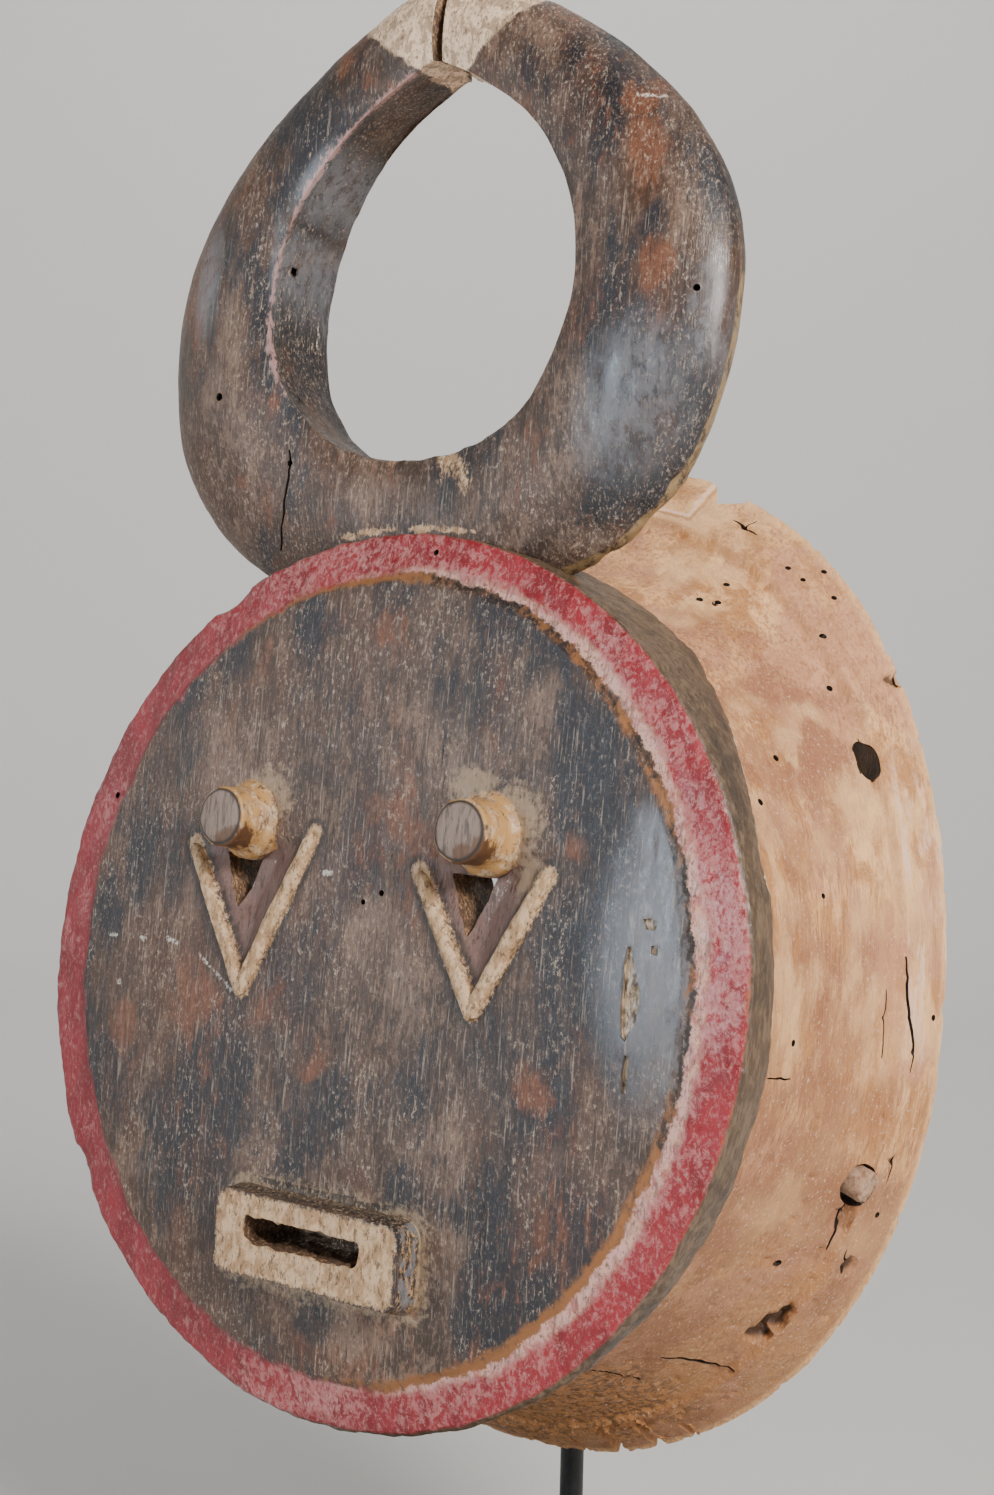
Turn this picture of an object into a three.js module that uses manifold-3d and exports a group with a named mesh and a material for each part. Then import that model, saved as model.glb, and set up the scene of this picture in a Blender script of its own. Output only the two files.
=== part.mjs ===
// Goli mask: a round painted face with a closed loop of horns on top and a deep hollow shell behind it,
// all carved from one block of wood, held up by a slim steel rod on a foot plate.
// Millimetres. +Z is up, +X is to the right of someone who looks at the face, +Y goes to the back.
// The origin is the centre of the foot plate's underside.

import * as THREE from 'three';
import { mergeVertices } from 'three/addons/utils/BufferGeometryUtils.js';
import Module from 'manifold-3d';

const wasm = await Module();
wasm.setup();
const { clamp, degToRad, lerp, smoothstep } = THREE.MathUtils;

// Face disc. The mask's own frame has its origin at the disc's centre, in the plane of the face.
const DISC_RADIUS = 132;
const DISC_SQUEEZE = 0.992;
const FIELD_HALF_X = 115;
const FIELD_HALF_Z = 119;
const FACE_DOME = 2.5;
const BAND_DROP = 4;
const EDGE_BACK = 17.5;
const EDGE_THICKER = { fromZ: 40, toZ: 125, by: 27 };
const EDGE_THINNER = { fromZ: -60, toZ: -110, by: 8 };
const EDGE_BULGE = 0.8;
const EDGE_ROUNDING = 1;
const FIELD_RING_REACHES = [0.35, 0.7];

// Hollow shell behind the disc, from its neck to the flared rim
const NECK_RADIUS = 126;
const NECK_Y = 20;
const WAIST = 3;
const WAIST_SKEW = 0.8;
const WAIST_FADE_POWER = 3;
const FLARE_POWER = 1.7;
const RIM_Y = 118;
const RIM_HALF_X = 135;
const RIM_TOP = 179;
const RIM_BOTTOM = 150;
const RIM_CENTRE_Z = -4;
const RIM_SQUARENESS = 2.12;
const RIM_SHEAR = 0.0215;
const FLANGE_WIDTH = 21;
const FLANGE_STEP = 1.6;
const FLANGE_STEP_LENGTH = 2;
const RIM_WALL = 11;
const FACE_WALL = 19;
const HOLLOW_FLOOR_HALF = 84;
const HOLLOW_NECK_HALF = 130;
const HOLLOW_BOWL_POWER = 0.32;
const HOLLOW_FLARE_POWER = 1.3;
const HOLLOW_DEPTHS = [19, 22, 29, 45, 70, 95];

// Lug at the top of the rim, teeth at its bottom, and the holes through its sides
const LUG_HALF_WIDTH = 40.5;
const LUG_RISE = 1.2;
const LUG_WIDTH = 16;
const LUG_FOOT_Z = 134;
const SHOULDER = { z: 163.5, width: 12, height: 30, spread: 11, fall: 4 };
const TOOTH_GAPS = [
  { x: 20.5, width: 2, height: 6 },
  { x: 34.6, width: 4.6, height: 14 },
  { x: 48.3, width: 4, height: 14 },
  { x: 60.5, width: 2.2, height: 7 },
];
const TOOTH_GAP_DEPTH = 20;
const TOOTH_GAP_BELOW = 3;
const TIE_HOLE = { y: 94, z: 76, halfWidth: 3.4, halfHeight: 5.8 };
const PEG_HOLE = { y: 94, z: -50, radius: 5.8 };
const PEG_RADIUS = 5.5;
const PEG_PROUD = 4;
const PEG_LENGTH = 17;
const DRILL_INWARD = 40;
const DRILL_OUTWARD = 15;

// Horn loop on top of the disc. Each edge has a low and a high quarter curve, which meet where it is
// widest, and the handles say how far a curve runs straight on before it turns.
const LOOP_OUTER = {
  halfWidth: 106.5, low: 112, widestZ: 204, high: 311, footHandle: 90, lowSideHandle: 44, highSideHandle: 45,
  tipHandle: { x: 62, drop: 23 },
};
const LOOP_INNER = {
  halfWidth: 58.5, low: 156, widestZ: 207, high: 279, footHandle: 36, lowSideHandle: 29, highSideHandle: 32,
  tipHandle: { x: 40, drop: 17 },
};
const LOOP_OUTER_SHIFT = -2;
const HORN_DEPTH = 31;
const HORN_TIP_DEPTH = 20;
const HORN_TIP_FROM_Z = 214;
const HORN_ROOT_SETBACK = 7;
const HORN_ROOT_Z = { from: 127, to: 184 };
const TIP_GROOVE = { x: 1, halfWidth: 3.2, bottomHalf: 0.32, depth: 5, notchDepth: 10, below: 10 };

// One section of the horn loop. It starts at the sharp ridge along the hole and runs over the rounded
// front to the outer edge, then back along the flat rear.
const HORN_SECTION = [
  { across: 0, front: 0 },
  { across: 0.2, front: -1.6 },
  { across: 0.5, front: -1.4 },
  { across: 0.76, front: 2 },
  { across: 0.93, front: 7 },
  { across: 1, front: 12 },
  { across: 0.94, depth: 0.72 },
  { across: 0.55, depth: 0.94 },
  { across: 0.03, depth: 1 },
];

// Eyes, the V ridges under them, and the mouth block
const EYE_RADIUS = 9.2;
const EYE_SPREAD = 0.5;
const EYE_FRONT = -16;
const EYE_DOME = { radius: 6.5, drop: 0.5 };
const EYE_EDGE = 1.9;
const EYE_ROOT = 14;
const RIDGE_HEIGHT = 2.4;
const RIDGE_TOP_WIDTH = 3.6;
const RIDGE_FOOT_WIDTH = 6.6;
const RIDGE_END_SHARE = 0.7;
const SOCKET_CENTRE_DROP = 14;
const SOCKET_ARM_INSET = 0.22;
const SOCKET_APEX_INSET = 0.3;
const EYES = [
  { x: -45, z: 43, apex: [-41.5, -8.5], outer: [-67, 35], inner: [-17.5, 40], hole: [-3, -10, -27] },
  { x: 46, z: 42.5, apex: [46.5, -7.5], outer: [23.5, 31], inner: [68.5, 32], hole: [-5, -11.5, -29] },
];
const EYE_HOLE_HALF_WIDTH = 7.5;
const EYE_HOLE_START = 3;
const MOUTH = { left: -35.5, right: 33.5, top: -68, bottom: -92, front: -10.5, corner: 4, tilt: -0.03 };
const MOUTH_SPREAD = 2.5;
const SLOT = { left: -25.5, right: 20, top: -74.5, bottom: -82.5, corner: 2 };
const SLOT_DEPTH = 8;
const SLOT_INSET = 1;
const SLOT_THROUGH_RIGHT = -6;

// How the mask hangs on its stand
const LEAN = degToRad(5.85);
const DISC_CENTRE_Y = -50;
const DISC_CENTRE_Z = 238;
const ROD_RADIUS = 4;
const ROD_BEHIND_DISC = 123;
const ARM_RADIUS = 3;
const ARM_REACH_Y = 70;
const ROOF_GAP = 1.6;
const CROSSBAR_HALF = 24;
const PROP_Z = -58;
const PAD_RADIUS = 9;
const PAD_THICKNESS = 3;
const FOOT = { width: 160, length: 190, thickness: 8, corner: 4 };
const ROD_SOCKET_DEPTH = 5;
const GAP = 0.3;

// How far a cut runs past what it cuts, how deep a raised form is rooted, and how near points are welded
const OVERCUT = 1;
const ROOTED = 3;
const WELD_DISTANCE = 1e-4;

// Facet counts
const DISC_SIDES = 72;
const HOLLOW_SIDES = 48;
const SHELL_STEPS = 7;
const HORN_STEPS = 11;
const ROUND_SIDES = 24;
const DRILL_SIDES = 12;
const CORNER_STEPS = 3;

const DARK_WOOD = { color: 0x6b4f3c, roughness: 0.7, metalness: 0 };
const BARE_WOOD = { color: 0xb79a7c, roughness: 0.8, metalness: 0 };
const BLACK_STEEL = { color: 0x1c1c1e, roughness: 0.45, metalness: 0.8 };

// Closed solid from a geometry whose shared corners are merged, with its faces pointing out
function solid(geometry) {
  const bare = geometry.index ? geometry.clone() : geometry;
  bare.deleteAttribute('normal');
  bare.deleteAttribute('uv');
  const merged = mergeVertices(bare, WELD_DISTANCE);
  const position = merged.attributes.position;
  const indices = Uint32Array.from(merged.index.array);
  if (signedVolume(position, indices) < 0) indices.reverse();
  const vertProperties = Float32Array.from(position.array);
  return new wasm.Manifold(new wasm.Mesh({ numProp: 3, vertProperties, triVerts: indices }));
}

function signedVolume(position, indices) {
  const [a, b, c] = [new THREE.Vector3(), new THREE.Vector3(), new THREE.Vector3()];
  let volume = 0;
  for (let i = 0; i < indices.length; i += 3) {
    a.fromBufferAttribute(position, indices[i]);
    b.fromBufferAttribute(position, indices[i + 1]);
    c.fromBufferAttribute(position, indices[i + 2]);
    volume += a.dot(b.cross(c)) / 6;
  }
  return volume;
}

function geometryOf(manifold) {
  const { vertProperties, triVerts, numProp } = manifold.getMesh();
  const geometry = new THREE.BufferGeometry();
  geometry.setAttribute('position', new THREE.Float32BufferAttribute(vertProperties, numProp));
  geometry.setIndex(Array.from(triVerts));
  geometry.computeVertexNormals();
  return geometry;
}

// Skin through rings of equal point counts. Open ends are closed to their middle; a closed loop joins
// its last ring to its first.
function loft(rings, closedLoop = false) {
  const sides = rings[0].length;
  const points = rings.flat();
  const triangles = [];
  const spans = closedLoop ? rings.length : rings.length - 1;
  for (let i = 0; i < spans; i++) {
    const near = i * sides;
    const far = ((i + 1) % rings.length) * sides;
    for (let j = 0; j < sides; j++) {
      const k = (j + 1) % sides;
      triangles.push(near + j, near + k, far + k, near + j, far + k, far + j);
    }
  }
  if (!closedLoop) {
    for (const [first, flip] of [[0, true], [(rings.length - 1) * sides, false]]) {
      const middle = new THREE.Vector3();
      for (let j = 0; j < sides; j++) middle.addScaledVector(points[first + j], 1 / sides);
      const centre = points.push(middle) - 1;
      for (let j = 0; j < sides; j++) {
        const pair = [first + j, first + ((j + 1) % sides)];
        triangles.push(centre, ...(flip ? pair.reverse() : pair));
      }
    }
  }
  const geometry = new THREE.BufferGeometry().setFromPoints(points);
  geometry.setIndex(triangles);
  return solid(geometry);
}

// Point of an oval section; its upper and lower halves may differ in height
function ovalPoint(angle, y, { halfX, top, bottom, centreZ, power, shear = 0 }) {
  const [c, s] = [Math.cos(angle), Math.sin(angle)];
  const x = halfX * Math.sign(c) * Math.abs(c) ** (2 / power);
  const z = (s > 0 ? top : bottom) * Math.sign(s) * Math.abs(s) ** (2 / power);
  return new THREE.Vector3(x + shear * z, y, centreZ + z);
}

function ringOf(sides, pointAt) {
  return Array.from({ length: sides }, (_, i) => pointAt((2 * Math.PI * i) / sides));
}

function ovalRing(y, section, sides) {
  return ringOf(sides, (angle) => ovalPoint(angle, y, section));
}

function roundSection(halfX, halfZ) {
  return { halfX, top: halfZ, bottom: halfZ, centreZ: 0, power: 2 };
}

// Solid between two outlines in X and Z, the first at the front and the second at the back
function taper(frontOutline, yFront, backOutline, yBack) {
  const ring = (outline, y) => outline.map(([x, z]) => new THREE.Vector3(x, y, z));
  return loft([ring(frontOutline, yFront), ring(backOutline, yBack)]);
}

function box(x0, x1, y0, y1, z0, z1) {
  const geometry = new THREE.BoxGeometry(x1 - x0, y1 - y0, z1 - z0);
  geometry.translate((x0 + x1) / 2, (y0 + y1) / 2, (z0 + z1) / 2);
  return solid(geometry);
}

// Round bar between two points
function bar(start, end, radius) {
  const along = new THREE.Vector3().subVectors(end, start);
  const geometry = new THREE.CylinderGeometry(radius, radius, along.length(), ROUND_SIDES);
  geometry.translate(0, along.length() / 2, 0);
  const up = new THREE.Vector3(0, 1, 0);
  geometry.applyQuaternion(new THREE.Quaternion().setFromUnitVectors(up, along.normalize()));
  geometry.translate(start.x, start.y, start.z);
  return solid(geometry);
}

function roundedOutline({ left, right, top, bottom, corner, tilt = 0 }, grow = 0) {
  const outline = [];
  const corners = [[right, top, 0], [left, top, 1], [left, bottom, 2], [right, bottom, 3]];
  for (const [x, z, quarter] of corners) {
    const inX = x - Math.sign(x - (left + right) / 2) * corner;
    const inZ = z - Math.sign(z - (top + bottom) / 2) * corner;
    for (let i = 0; i <= CORNER_STEPS; i++) {
      const angle = (quarter + i / CORNER_STEPS) * (Math.PI / 2);
      const px = inX + (corner + grow) * Math.cos(angle);
      outline.push([px, inZ + (corner + grow) * Math.sin(angle) + tilt * px]);
    }
  }
  return outline;
}

// Section sizes of the shell's outside: share 0 is the neck behind the disc, 1 is the rim
function shellSection(share) {
  const flare = share ** FLARE_POWER;
  const waist = WAIST * Math.sin(Math.PI * share ** WAIST_SKEW) * (1 - share ** WAIST_FADE_POWER);
  const onFlange = share >= shellShare(RIM_Y - FLANGE_WIDTH) ? 0 : FLANGE_STEP;
  const between = (neck, rim) => lerp(neck, rim, flare) - waist - onFlange;
  return {
    halfX: between(NECK_RADIUS, RIM_HALF_X),
    top: between(NECK_RADIUS, RIM_TOP),
    bottom: between(NECK_RADIUS, RIM_BOTTOM),
    centreZ: RIM_CENTRE_Z * flare,
    power: lerp(2, RIM_SQUARENESS, share),
    shear: RIM_SHEAR * share,
  };
}

function shellShare(y) {
  return clamp((y - NECK_Y) / (RIM_Y - NECK_Y), 0, 1);
}

// Depth at which the disc's side ends: it is thick at the top, where it carries the horns, and thin below
function edgeBack(z) {
  return EDGE_BACK + EDGE_THICKER.by * smoothstep(z, EDGE_THICKER.fromZ, EDGE_THICKER.toZ)
    - EDGE_THINNER.by * smoothstep(-z, -EDGE_THINNER.fromZ, -EDGE_THINNER.toZ);
}

// Disc and shell as one round body, still without its hollow
function discAndShell() {
  const field = (reach) => {
    const section = roundSection(FIELD_HALF_X * reach, FIELD_HALF_Z * reach);
    return ovalRing(faceY(reach), section, DISC_SIDES);
  };
  const edge = (depthShare, grow) => ringOf(DISC_SIDES, (angle) => {
    const section = roundSection(DISC_RADIUS * DISC_SQUEEZE + grow, DISC_RADIUS + grow);
    const point = ovalPoint(angle, 0, section);
    return point.setY(lerp(BAND_DROP, edgeBack(point.z), depthShare));
  });
  const flangeY = RIM_Y - FLANGE_WIDTH;
  const shell = (share) => ringOf(DISC_SIDES, (angle) => {
    const start = edgeBack(DISC_RADIUS * Math.sin(angle)) + EDGE_ROUNDING;
    const y = lerp(start, flangeY - FLANGE_STEP_LENGTH, share);
    return ovalPoint(angle, y, shellSection(shellShare(y)));
  });
  const rings = [...FIELD_RING_REACHES.map(field), field(1), edge(0, 0), edge(0.5, EDGE_BULGE)];
  rings.push(edge(1, -EDGE_ROUNDING));
  for (let i = 0; i < SHELL_STEPS; i++) rings.push(shell(i / (SHELL_STEPS - 1)));
  rings.push(ovalRing(flangeY, shellSection(shellShare(flangeY)), DISC_SIDES));
  rings.push(ovalRing(RIM_Y, shellSection(1), DISC_SIDES));
  return loft(rings);
}

// The painted face is a shallow dome; reach is 0 at its middle and 1 at the red band
function faceY(reach) {
  return -FACE_DOME * (1 - reach ** 4);
}

// Inner surface of the hollow at depth y: a bowl that opens towards the rim
function hollowSection(y) {
  const share = clamp((y - FACE_WALL) / (RIM_Y - FACE_WALL), 0, 1);
  const open = share ** HOLLOW_BOWL_POWER;
  const rim = shellSection(1);
  const between = (outer) => lerp(HOLLOW_FLOOR_HALF, outer - RIM_WALL, open);
  return {
    halfX: between(rim.halfX),
    top: between(lerp(HOLLOW_NECK_HALF, rim.top, share ** HOLLOW_FLARE_POWER)),
    bottom: between(lerp(HOLLOW_NECK_HALF, rim.bottom, share ** HOLLOW_FLARE_POWER)),
    centreZ: rim.centreZ * share,
    power: 2,
    shear: RIM_SHEAR * share,
  };
}

function hollow() {
  return loft([...HOLLOW_DEPTHS, RIM_Y + OVERCUT].map((y) => ovalRing(y, hollowSection(y), HOLLOW_SIDES)));
}

// Squared lug on top of the rim
function lug() {
  const band = loft([RIM_Y - LUG_WIDTH, RIM_Y].map((y) => {
    const section = shellSection(shellShare(y));
    return ovalRing(y, { ...section, top: section.top + LUG_RISE }, DISC_SIDES);
  }));
  const width = LUG_HALF_WIDTH;
  const top = RIM_TOP + LUG_RISE + OVERCUT;
  return band.intersect(box(-width, width, 0, RIM_Y + OVERCUT, LUG_FOOT_Z, top));
}

// Sunk shoulder beside the lug; it runs out towards the front
function shoulder(side) {
  const { width, height } = SHOULDER;
  const block = (x, z) => [[x, z], [x + width, z], [x + width, z + height], [x, z + height]]
    .map(([px, pz]) => [side * px, pz]);
  const front = block(LUG_HALF_WIDTH + SHOULDER.spread, SHOULDER.z - SHOULDER.fall);
  return taper(front, RIM_Y - LUG_WIDTH, block(LUG_HALF_WIDTH, SHOULDER.z), RIM_Y + OVERCUT);
}

// Gap in the broken lip at the bottom of the rim
function toothGap({ x, width, height }) {
  const { halfX, bottom, centreZ, power } = shellSection(1);
  const low = centreZ - bottom * (1 - (x / halfX) ** power) ** (1 / power);
  const [y0, y1] = [RIM_Y - TOOTH_GAP_DEPTH, RIM_Y + OVERCUT];
  return box(x - width / 2, x + width / 2, y0, y1, low - TOOTH_GAP_BELOW, low + height);
}

// Point of the shell's outside at a depth and height, on the right (+1) or left (-1), and its outward normal
function shellPoint(y, z, side) {
  const section = shellSection(shellShare(y));
  const half = z > section.centreZ ? section.top : section.bottom;
  const lift = Math.abs(z - section.centreZ) / half;
  const x = section.halfX * (1 - lift ** section.power) ** (1 / section.power);
  const normal = new THREE.Vector3(x / section.halfX ** 2, 0, (z - section.centreZ) / half ** 2).normalize();
  normal.x *= side;
  const shift = section.shear * (z - section.centreZ);
  return { point: new THREE.Vector3(side * x + shift, y, z), normal };
}

// Round or oval drill through the shell wall, square to it
function drill({ y, z }, side, halfAcross, halfUp, inward = DRILL_INWARD, outward = DRILL_OUTWARD) {
  const { point, normal } = shellPoint(y, z, side);
  const geometry = new THREE.CylinderGeometry(1, 1, inward + outward, DRILL_SIDES);
  geometry.scale(halfUp, 1, halfAcross);
  geometry.translate(0, (outward - inward) / 2, 0);
  const up = new THREE.Vector3(-normal.z, 0, normal.x).multiplyScalar(side);
  const frame = new THREE.Matrix4().makeBasis(up, normal, new THREE.Vector3().crossVectors(up, normal));
  geometry.applyMatrix4(frame.setPosition(point));
  return solid(geometry);
}

// Low and high quarter of the right half of one edge of the loop; the left half mirrors them
function edgeQuarters(edge) {
  const { halfWidth, low, widestZ, high, tipHandle } = edge;
  const quarter = (points) => new THREE.CubicBezierCurve(...points.map(([x, z]) => new THREE.Vector2(x, z)));
  const widest = [halfWidth, widestZ];
  const below = [halfWidth, widestZ - edge.lowSideHandle];
  const above = [halfWidth, widestZ + edge.highSideHandle];
  return [
    quarter([[0, low], [edge.footHandle, low], below, widest]),
    quarter([widest, above, [tipHandle.x, high - tipHandle.drop], [0, high]]),
  ];
}

function hornRing(inner, outer, mirror) {
  const height = (inner.y + outer.y) / 2;
  const tipShare = smoothstep(height, HORN_TIP_FROM_Z, LOOP_OUTER.high);
  const rootShare = 1 - smoothstep(height, HORN_ROOT_Z.from, HORN_ROOT_Z.to);
  const depth = lerp(HORN_DEPTH, HORN_TIP_DEPTH, tipShare);
  const setback = HORN_ROOT_SETBACK * rootShare;
  return HORN_SECTION.map((corner) => {
    const half = lerp(inner.x, outer.x, corner.across);
    const x = mirror * half + LOOP_OUTER_SHIFT * corner.across;
    const z = lerp(inner.y, outer.y, corner.across);
    const shrink = depth / HORN_DEPTH;
    const y = corner.depth === undefined ? setback + corner.front * shrink : corner.depth * depth;
    return new THREE.Vector3(x, y, z);
  });
}

function hornLoop() {
  const [inner, outer] = [LOOP_INNER, LOOP_OUTER].map(edgeQuarters);
  const shares = Array.from({ length: HORN_STEPS }, (_, i) => i / HORN_STEPS);
  const pairAt = (quarter, t) => [inner[quarter].getPoint(t), outer[quarter].getPoint(t)];
  const half = [0, 1].flatMap((quarter) => shares.map((t) => pairAt(quarter, t)));
  half.push(pairAt(1, 1));
  const right = half.map(([near, far]) => hornRing(near, far, 1));
  const left = half.slice(1, -1).reverse().map(([near, far]) => hornRing(near, far, -1));
  return loft([...right, ...left], true);
}

// Groove where the two horn tips meet: it runs down the front, over the top and down the back
function tipGroove() {
  const { x, halfWidth, bottomHalf, depth, notchDepth, below } = TIP_GROOVE;
  const [low, high] = [LOOP_INNER.high - below, LOOP_OUTER.high + OVERCUT];
  const strip = (half) => [[x - half, low], [x + half, low], [x + half, high], [x - half, high]];
  const wedge = (yOpen, yClosed) => taper(strip(halfWidth), yOpen, strip(bottomHalf), yClosed);
  const notch = [[x - halfWidth, high], [x + halfWidth, high], [x, LOOP_OUTER.high - notchDepth]];
  const top = taper(notch, -depth, notch, HORN_TIP_DEPTH + depth);
  return [wedge(-depth, depth), wedge(HORN_TIP_DEPTH + depth, HORN_TIP_DEPTH - depth), top];
}

function eye({ x, z }) {
  const profile = [[0, EYE_FRONT], [EYE_DOME.radius, EYE_FRONT + EYE_DOME.drop],
    [EYE_RADIUS, EYE_FRONT + EYE_EDGE], [EYE_RADIUS + EYE_SPREAD, EYE_ROOT], [0, EYE_ROOT]];
  const geometry = new THREE.LatheGeometry(profile.map(([r, y]) => new THREE.Vector2(r, y)), ROUND_SIDES);
  geometry.translate(x, 0, z);
  return solid(geometry);
}

// One arm of a V ridge, from its apex to its end, with sloping flanks
function ridgeArm([x0, z0], [x1, z1]) {
  const along = new THREE.Vector2(x1 - x0, z1 - z0).normalize();
  const corners = [[-1, x0, z0], [1, x0, z0], [RIDGE_END_SHARE, x1, z1], [-RIDGE_END_SHARE, x1, z1]];
  const outline = (width) => corners.map(([side, x, z]) => {
    const offset = (side * width) / 2;
    return [x - along.y * offset, z + along.x * offset];
  });
  return taper(outline(RIDGE_TOP_WIDTH), -FACE_DOME - RIDGE_HEIGHT, outline(RIDGE_FOOT_WIDTH), ROOTED);
}

// Sloping socket between the arms of a V, and the sight hole at its upper end
function socket({ x, z, apex, outer, inner, hole }) {
  const inset = ([px, pz], share) => [lerp(px, x, share), lerp(pz, z - SOCKET_CENTRE_DROP, share)];
  const [outerCorner, innerCorner] = [outer, inner].map((end) => inset(end, SOCKET_ARM_INSET));
  const mouth = [outerCorner, inset(apex, SOCKET_APEX_INSET), innerCorner];
  const [shift, top, bottom] = hole;
  const sight = [[x + shift - EYE_HOLE_HALF_WIDTH, z + top], [x + shift, z + bottom],
    [x + shift + EYE_HOLE_HALF_WIDTH, z + top]];
  const slope = taper(mouth, -FACE_DOME - OVERCUT, sight, EYE_HOLE_START);
  return [slope, taper(sight, EYE_HOLE_START - OVERCUT, sight, FACE_WALL + ROOTED)];
}

function mouthBlock() {
  return taper(roundedOutline(MOUTH), MOUTH.front, roundedOutline(MOUTH, MOUTH_SPREAD), ROOTED);
}

// Slot between the lips. Its left part goes right through the wall.
function mouthSlot() {
  const { left, top, bottom } = SLOT;
  const [back, start] = [roundedOutline(SLOT, -SLOT_INSET), SLOT_DEPTH - ROOTED];
  const through = roundedOutline({
    left, right: SLOT_THROUGH_RIGHT, top: top - SLOT_INSET, bottom: bottom + SLOT_INSET, corner: SLOT_INSET,
  });
  const cut = taper(roundedOutline(SLOT), MOUTH.front - OVERCUT, back, SLOT_DEPTH);
  return [cut, taper(through, start, through, FACE_WALL + ROOTED)];
}

function carveMask() {
  let body = discAndShell().add(hornLoop()).add(lug()).subtract(hollow());
  for (const one of EYES) {
    for (const arm of [one.outer, one.inner]) body = body.add(ridgeArm(one.apex, arm));
    for (const cut of socket(one)) body = body.subtract(cut);
    body = body.add(eye(one));
  }
  body = body.add(mouthBlock());
  for (const cut of [...mouthSlot(), ...tipGroove(), ...TOOTH_GAPS.map(toothGap)]) body = body.subtract(cut);
  for (const side of [1, -1]) {
    body = body.subtract(shoulder(side));
    body = body.subtract(drill(TIE_HOLE, side, TIE_HOLE.halfWidth, TIE_HOLE.halfHeight));
    body = body.subtract(drill(PEG_HOLE, side, PEG_HOLE.radius, PEG_HOLE.radius));
  }
  return body;
}

// Broken stub of a peg in the lower right hole
function rimPeg() {
  return drill(PEG_HOLE, 1, PEG_RADIUS, PEG_RADIUS, PEG_LENGTH - PEG_PROUD, PEG_PROUD);
}

// A point of the mask's own frame, placed as the mask hangs
function hung(x, y, z) {
  const [c, s] = [Math.cos(LEAN), Math.sin(LEAN)];
  return new THREE.Vector3(x, c * y + s * z + DISC_CENTRE_Y, c * z - s * y + DISC_CENTRE_Z);
}

// Upright rod with the arm that carries the hollow's roof and the prop that bears on the back of the face
function standRod() {
  const rodY = DISC_CENTRE_Y + ROD_BEHIND_DISC;
  const roof = hollowSection(ARM_REACH_Y);
  const drop = roof.top * (1 - Math.sqrt(1 - (CROSSBAR_HALF / roof.halfX) ** 2));
  const contact = hung(0, ARM_REACH_Y, roof.centreZ + roof.top - drop);
  const armZ = contact.z - ARM_RADIUS - ROOF_GAP;
  const wall = hung(0, FACE_WALL, PROP_Z);
  const prop = (y) => new THREE.Vector3(0, y, wall.z);
  const foot = new THREE.Vector3(0, rodY, FOOT.thickness - ROD_SOCKET_DEPTH + GAP);
  const padFront = wall.y + 2 * GAP + PAD_RADIUS * Math.sin(LEAN);
  const arm = (x, y) => new THREE.Vector3(x, y, armZ);
  return bar(foot, new THREE.Vector3(0, rodY, armZ + ARM_RADIUS), ROD_RADIUS)
    .add(bar(arm(0, rodY), arm(0, contact.y), ARM_RADIUS))
    .add(bar(arm(-CROSSBAR_HALF, contact.y), arm(CROSSBAR_HALF, contact.y), ARM_RADIUS))
    .add(bar(prop(padFront), prop(rodY), ARM_RADIUS))
    .add(bar(prop(padFront), prop(padFront + PAD_THICKNESS), PAD_RADIUS));
}

function footPlate() {
  const { width, length, thickness, corner } = FOOT;
  const half = { left: -width / 2, right: width / 2, top: length / 2, bottom: -length / 2, corner };
  const shape = new THREE.Shape(roundedOutline(half).map(([x, y]) => new THREE.Vector2(x, y)));
  const plate = solid(new THREE.ExtrudeGeometry(shape, { depth: thickness, bevelEnabled: false }));
  const rodY = DISC_CENTRE_Y + ROD_BEHIND_DISC;
  const socketLow = new THREE.Vector3(0, rodY, thickness - ROD_SOCKET_DEPTH);
  return plate.subtract(bar(socketLow, new THREE.Vector3(0, rodY, thickness + OVERCUT), ROD_RADIUS + GAP));
}

function named(name, manifold, finish) {
  const mesh = new THREE.Mesh(geometryOf(manifold), new THREE.MeshStandardMaterial(finish));
  mesh.name = name;
  return mesh;
}

const hungMask = new THREE.Group();
hungMask.add(named('mask', carveMask(), DARK_WOOD));
hungMask.add(named('rim_peg', rimPeg(), BARE_WOOD));
hungMask.rotation.x = -LEAN;
hungMask.position.set(0, DISC_CENTRE_Y, DISC_CENTRE_Z);

const part = new THREE.Group();
part.add(hungMask);
part.add(named('stand_rod', standRod(), BLACK_STEEL));
part.add(named('foot_plate', footPlate(), BLACK_STEEL));

export default part;
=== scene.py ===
"""Goli mask on its steel stand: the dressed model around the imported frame.

Carving is worked out in millimetres in the mask's own frame, whose origin is the disc's centre in the plane
of the face. +X is to the right of someone who looks at the face, +Y goes to the back and +Z is up. The last
step of each piece leans it back, hangs it on the stand and turns millimetres into metres.
"""
import math

import bpy
import numpy as np
from mathutils import Matrix, Vector


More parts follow.
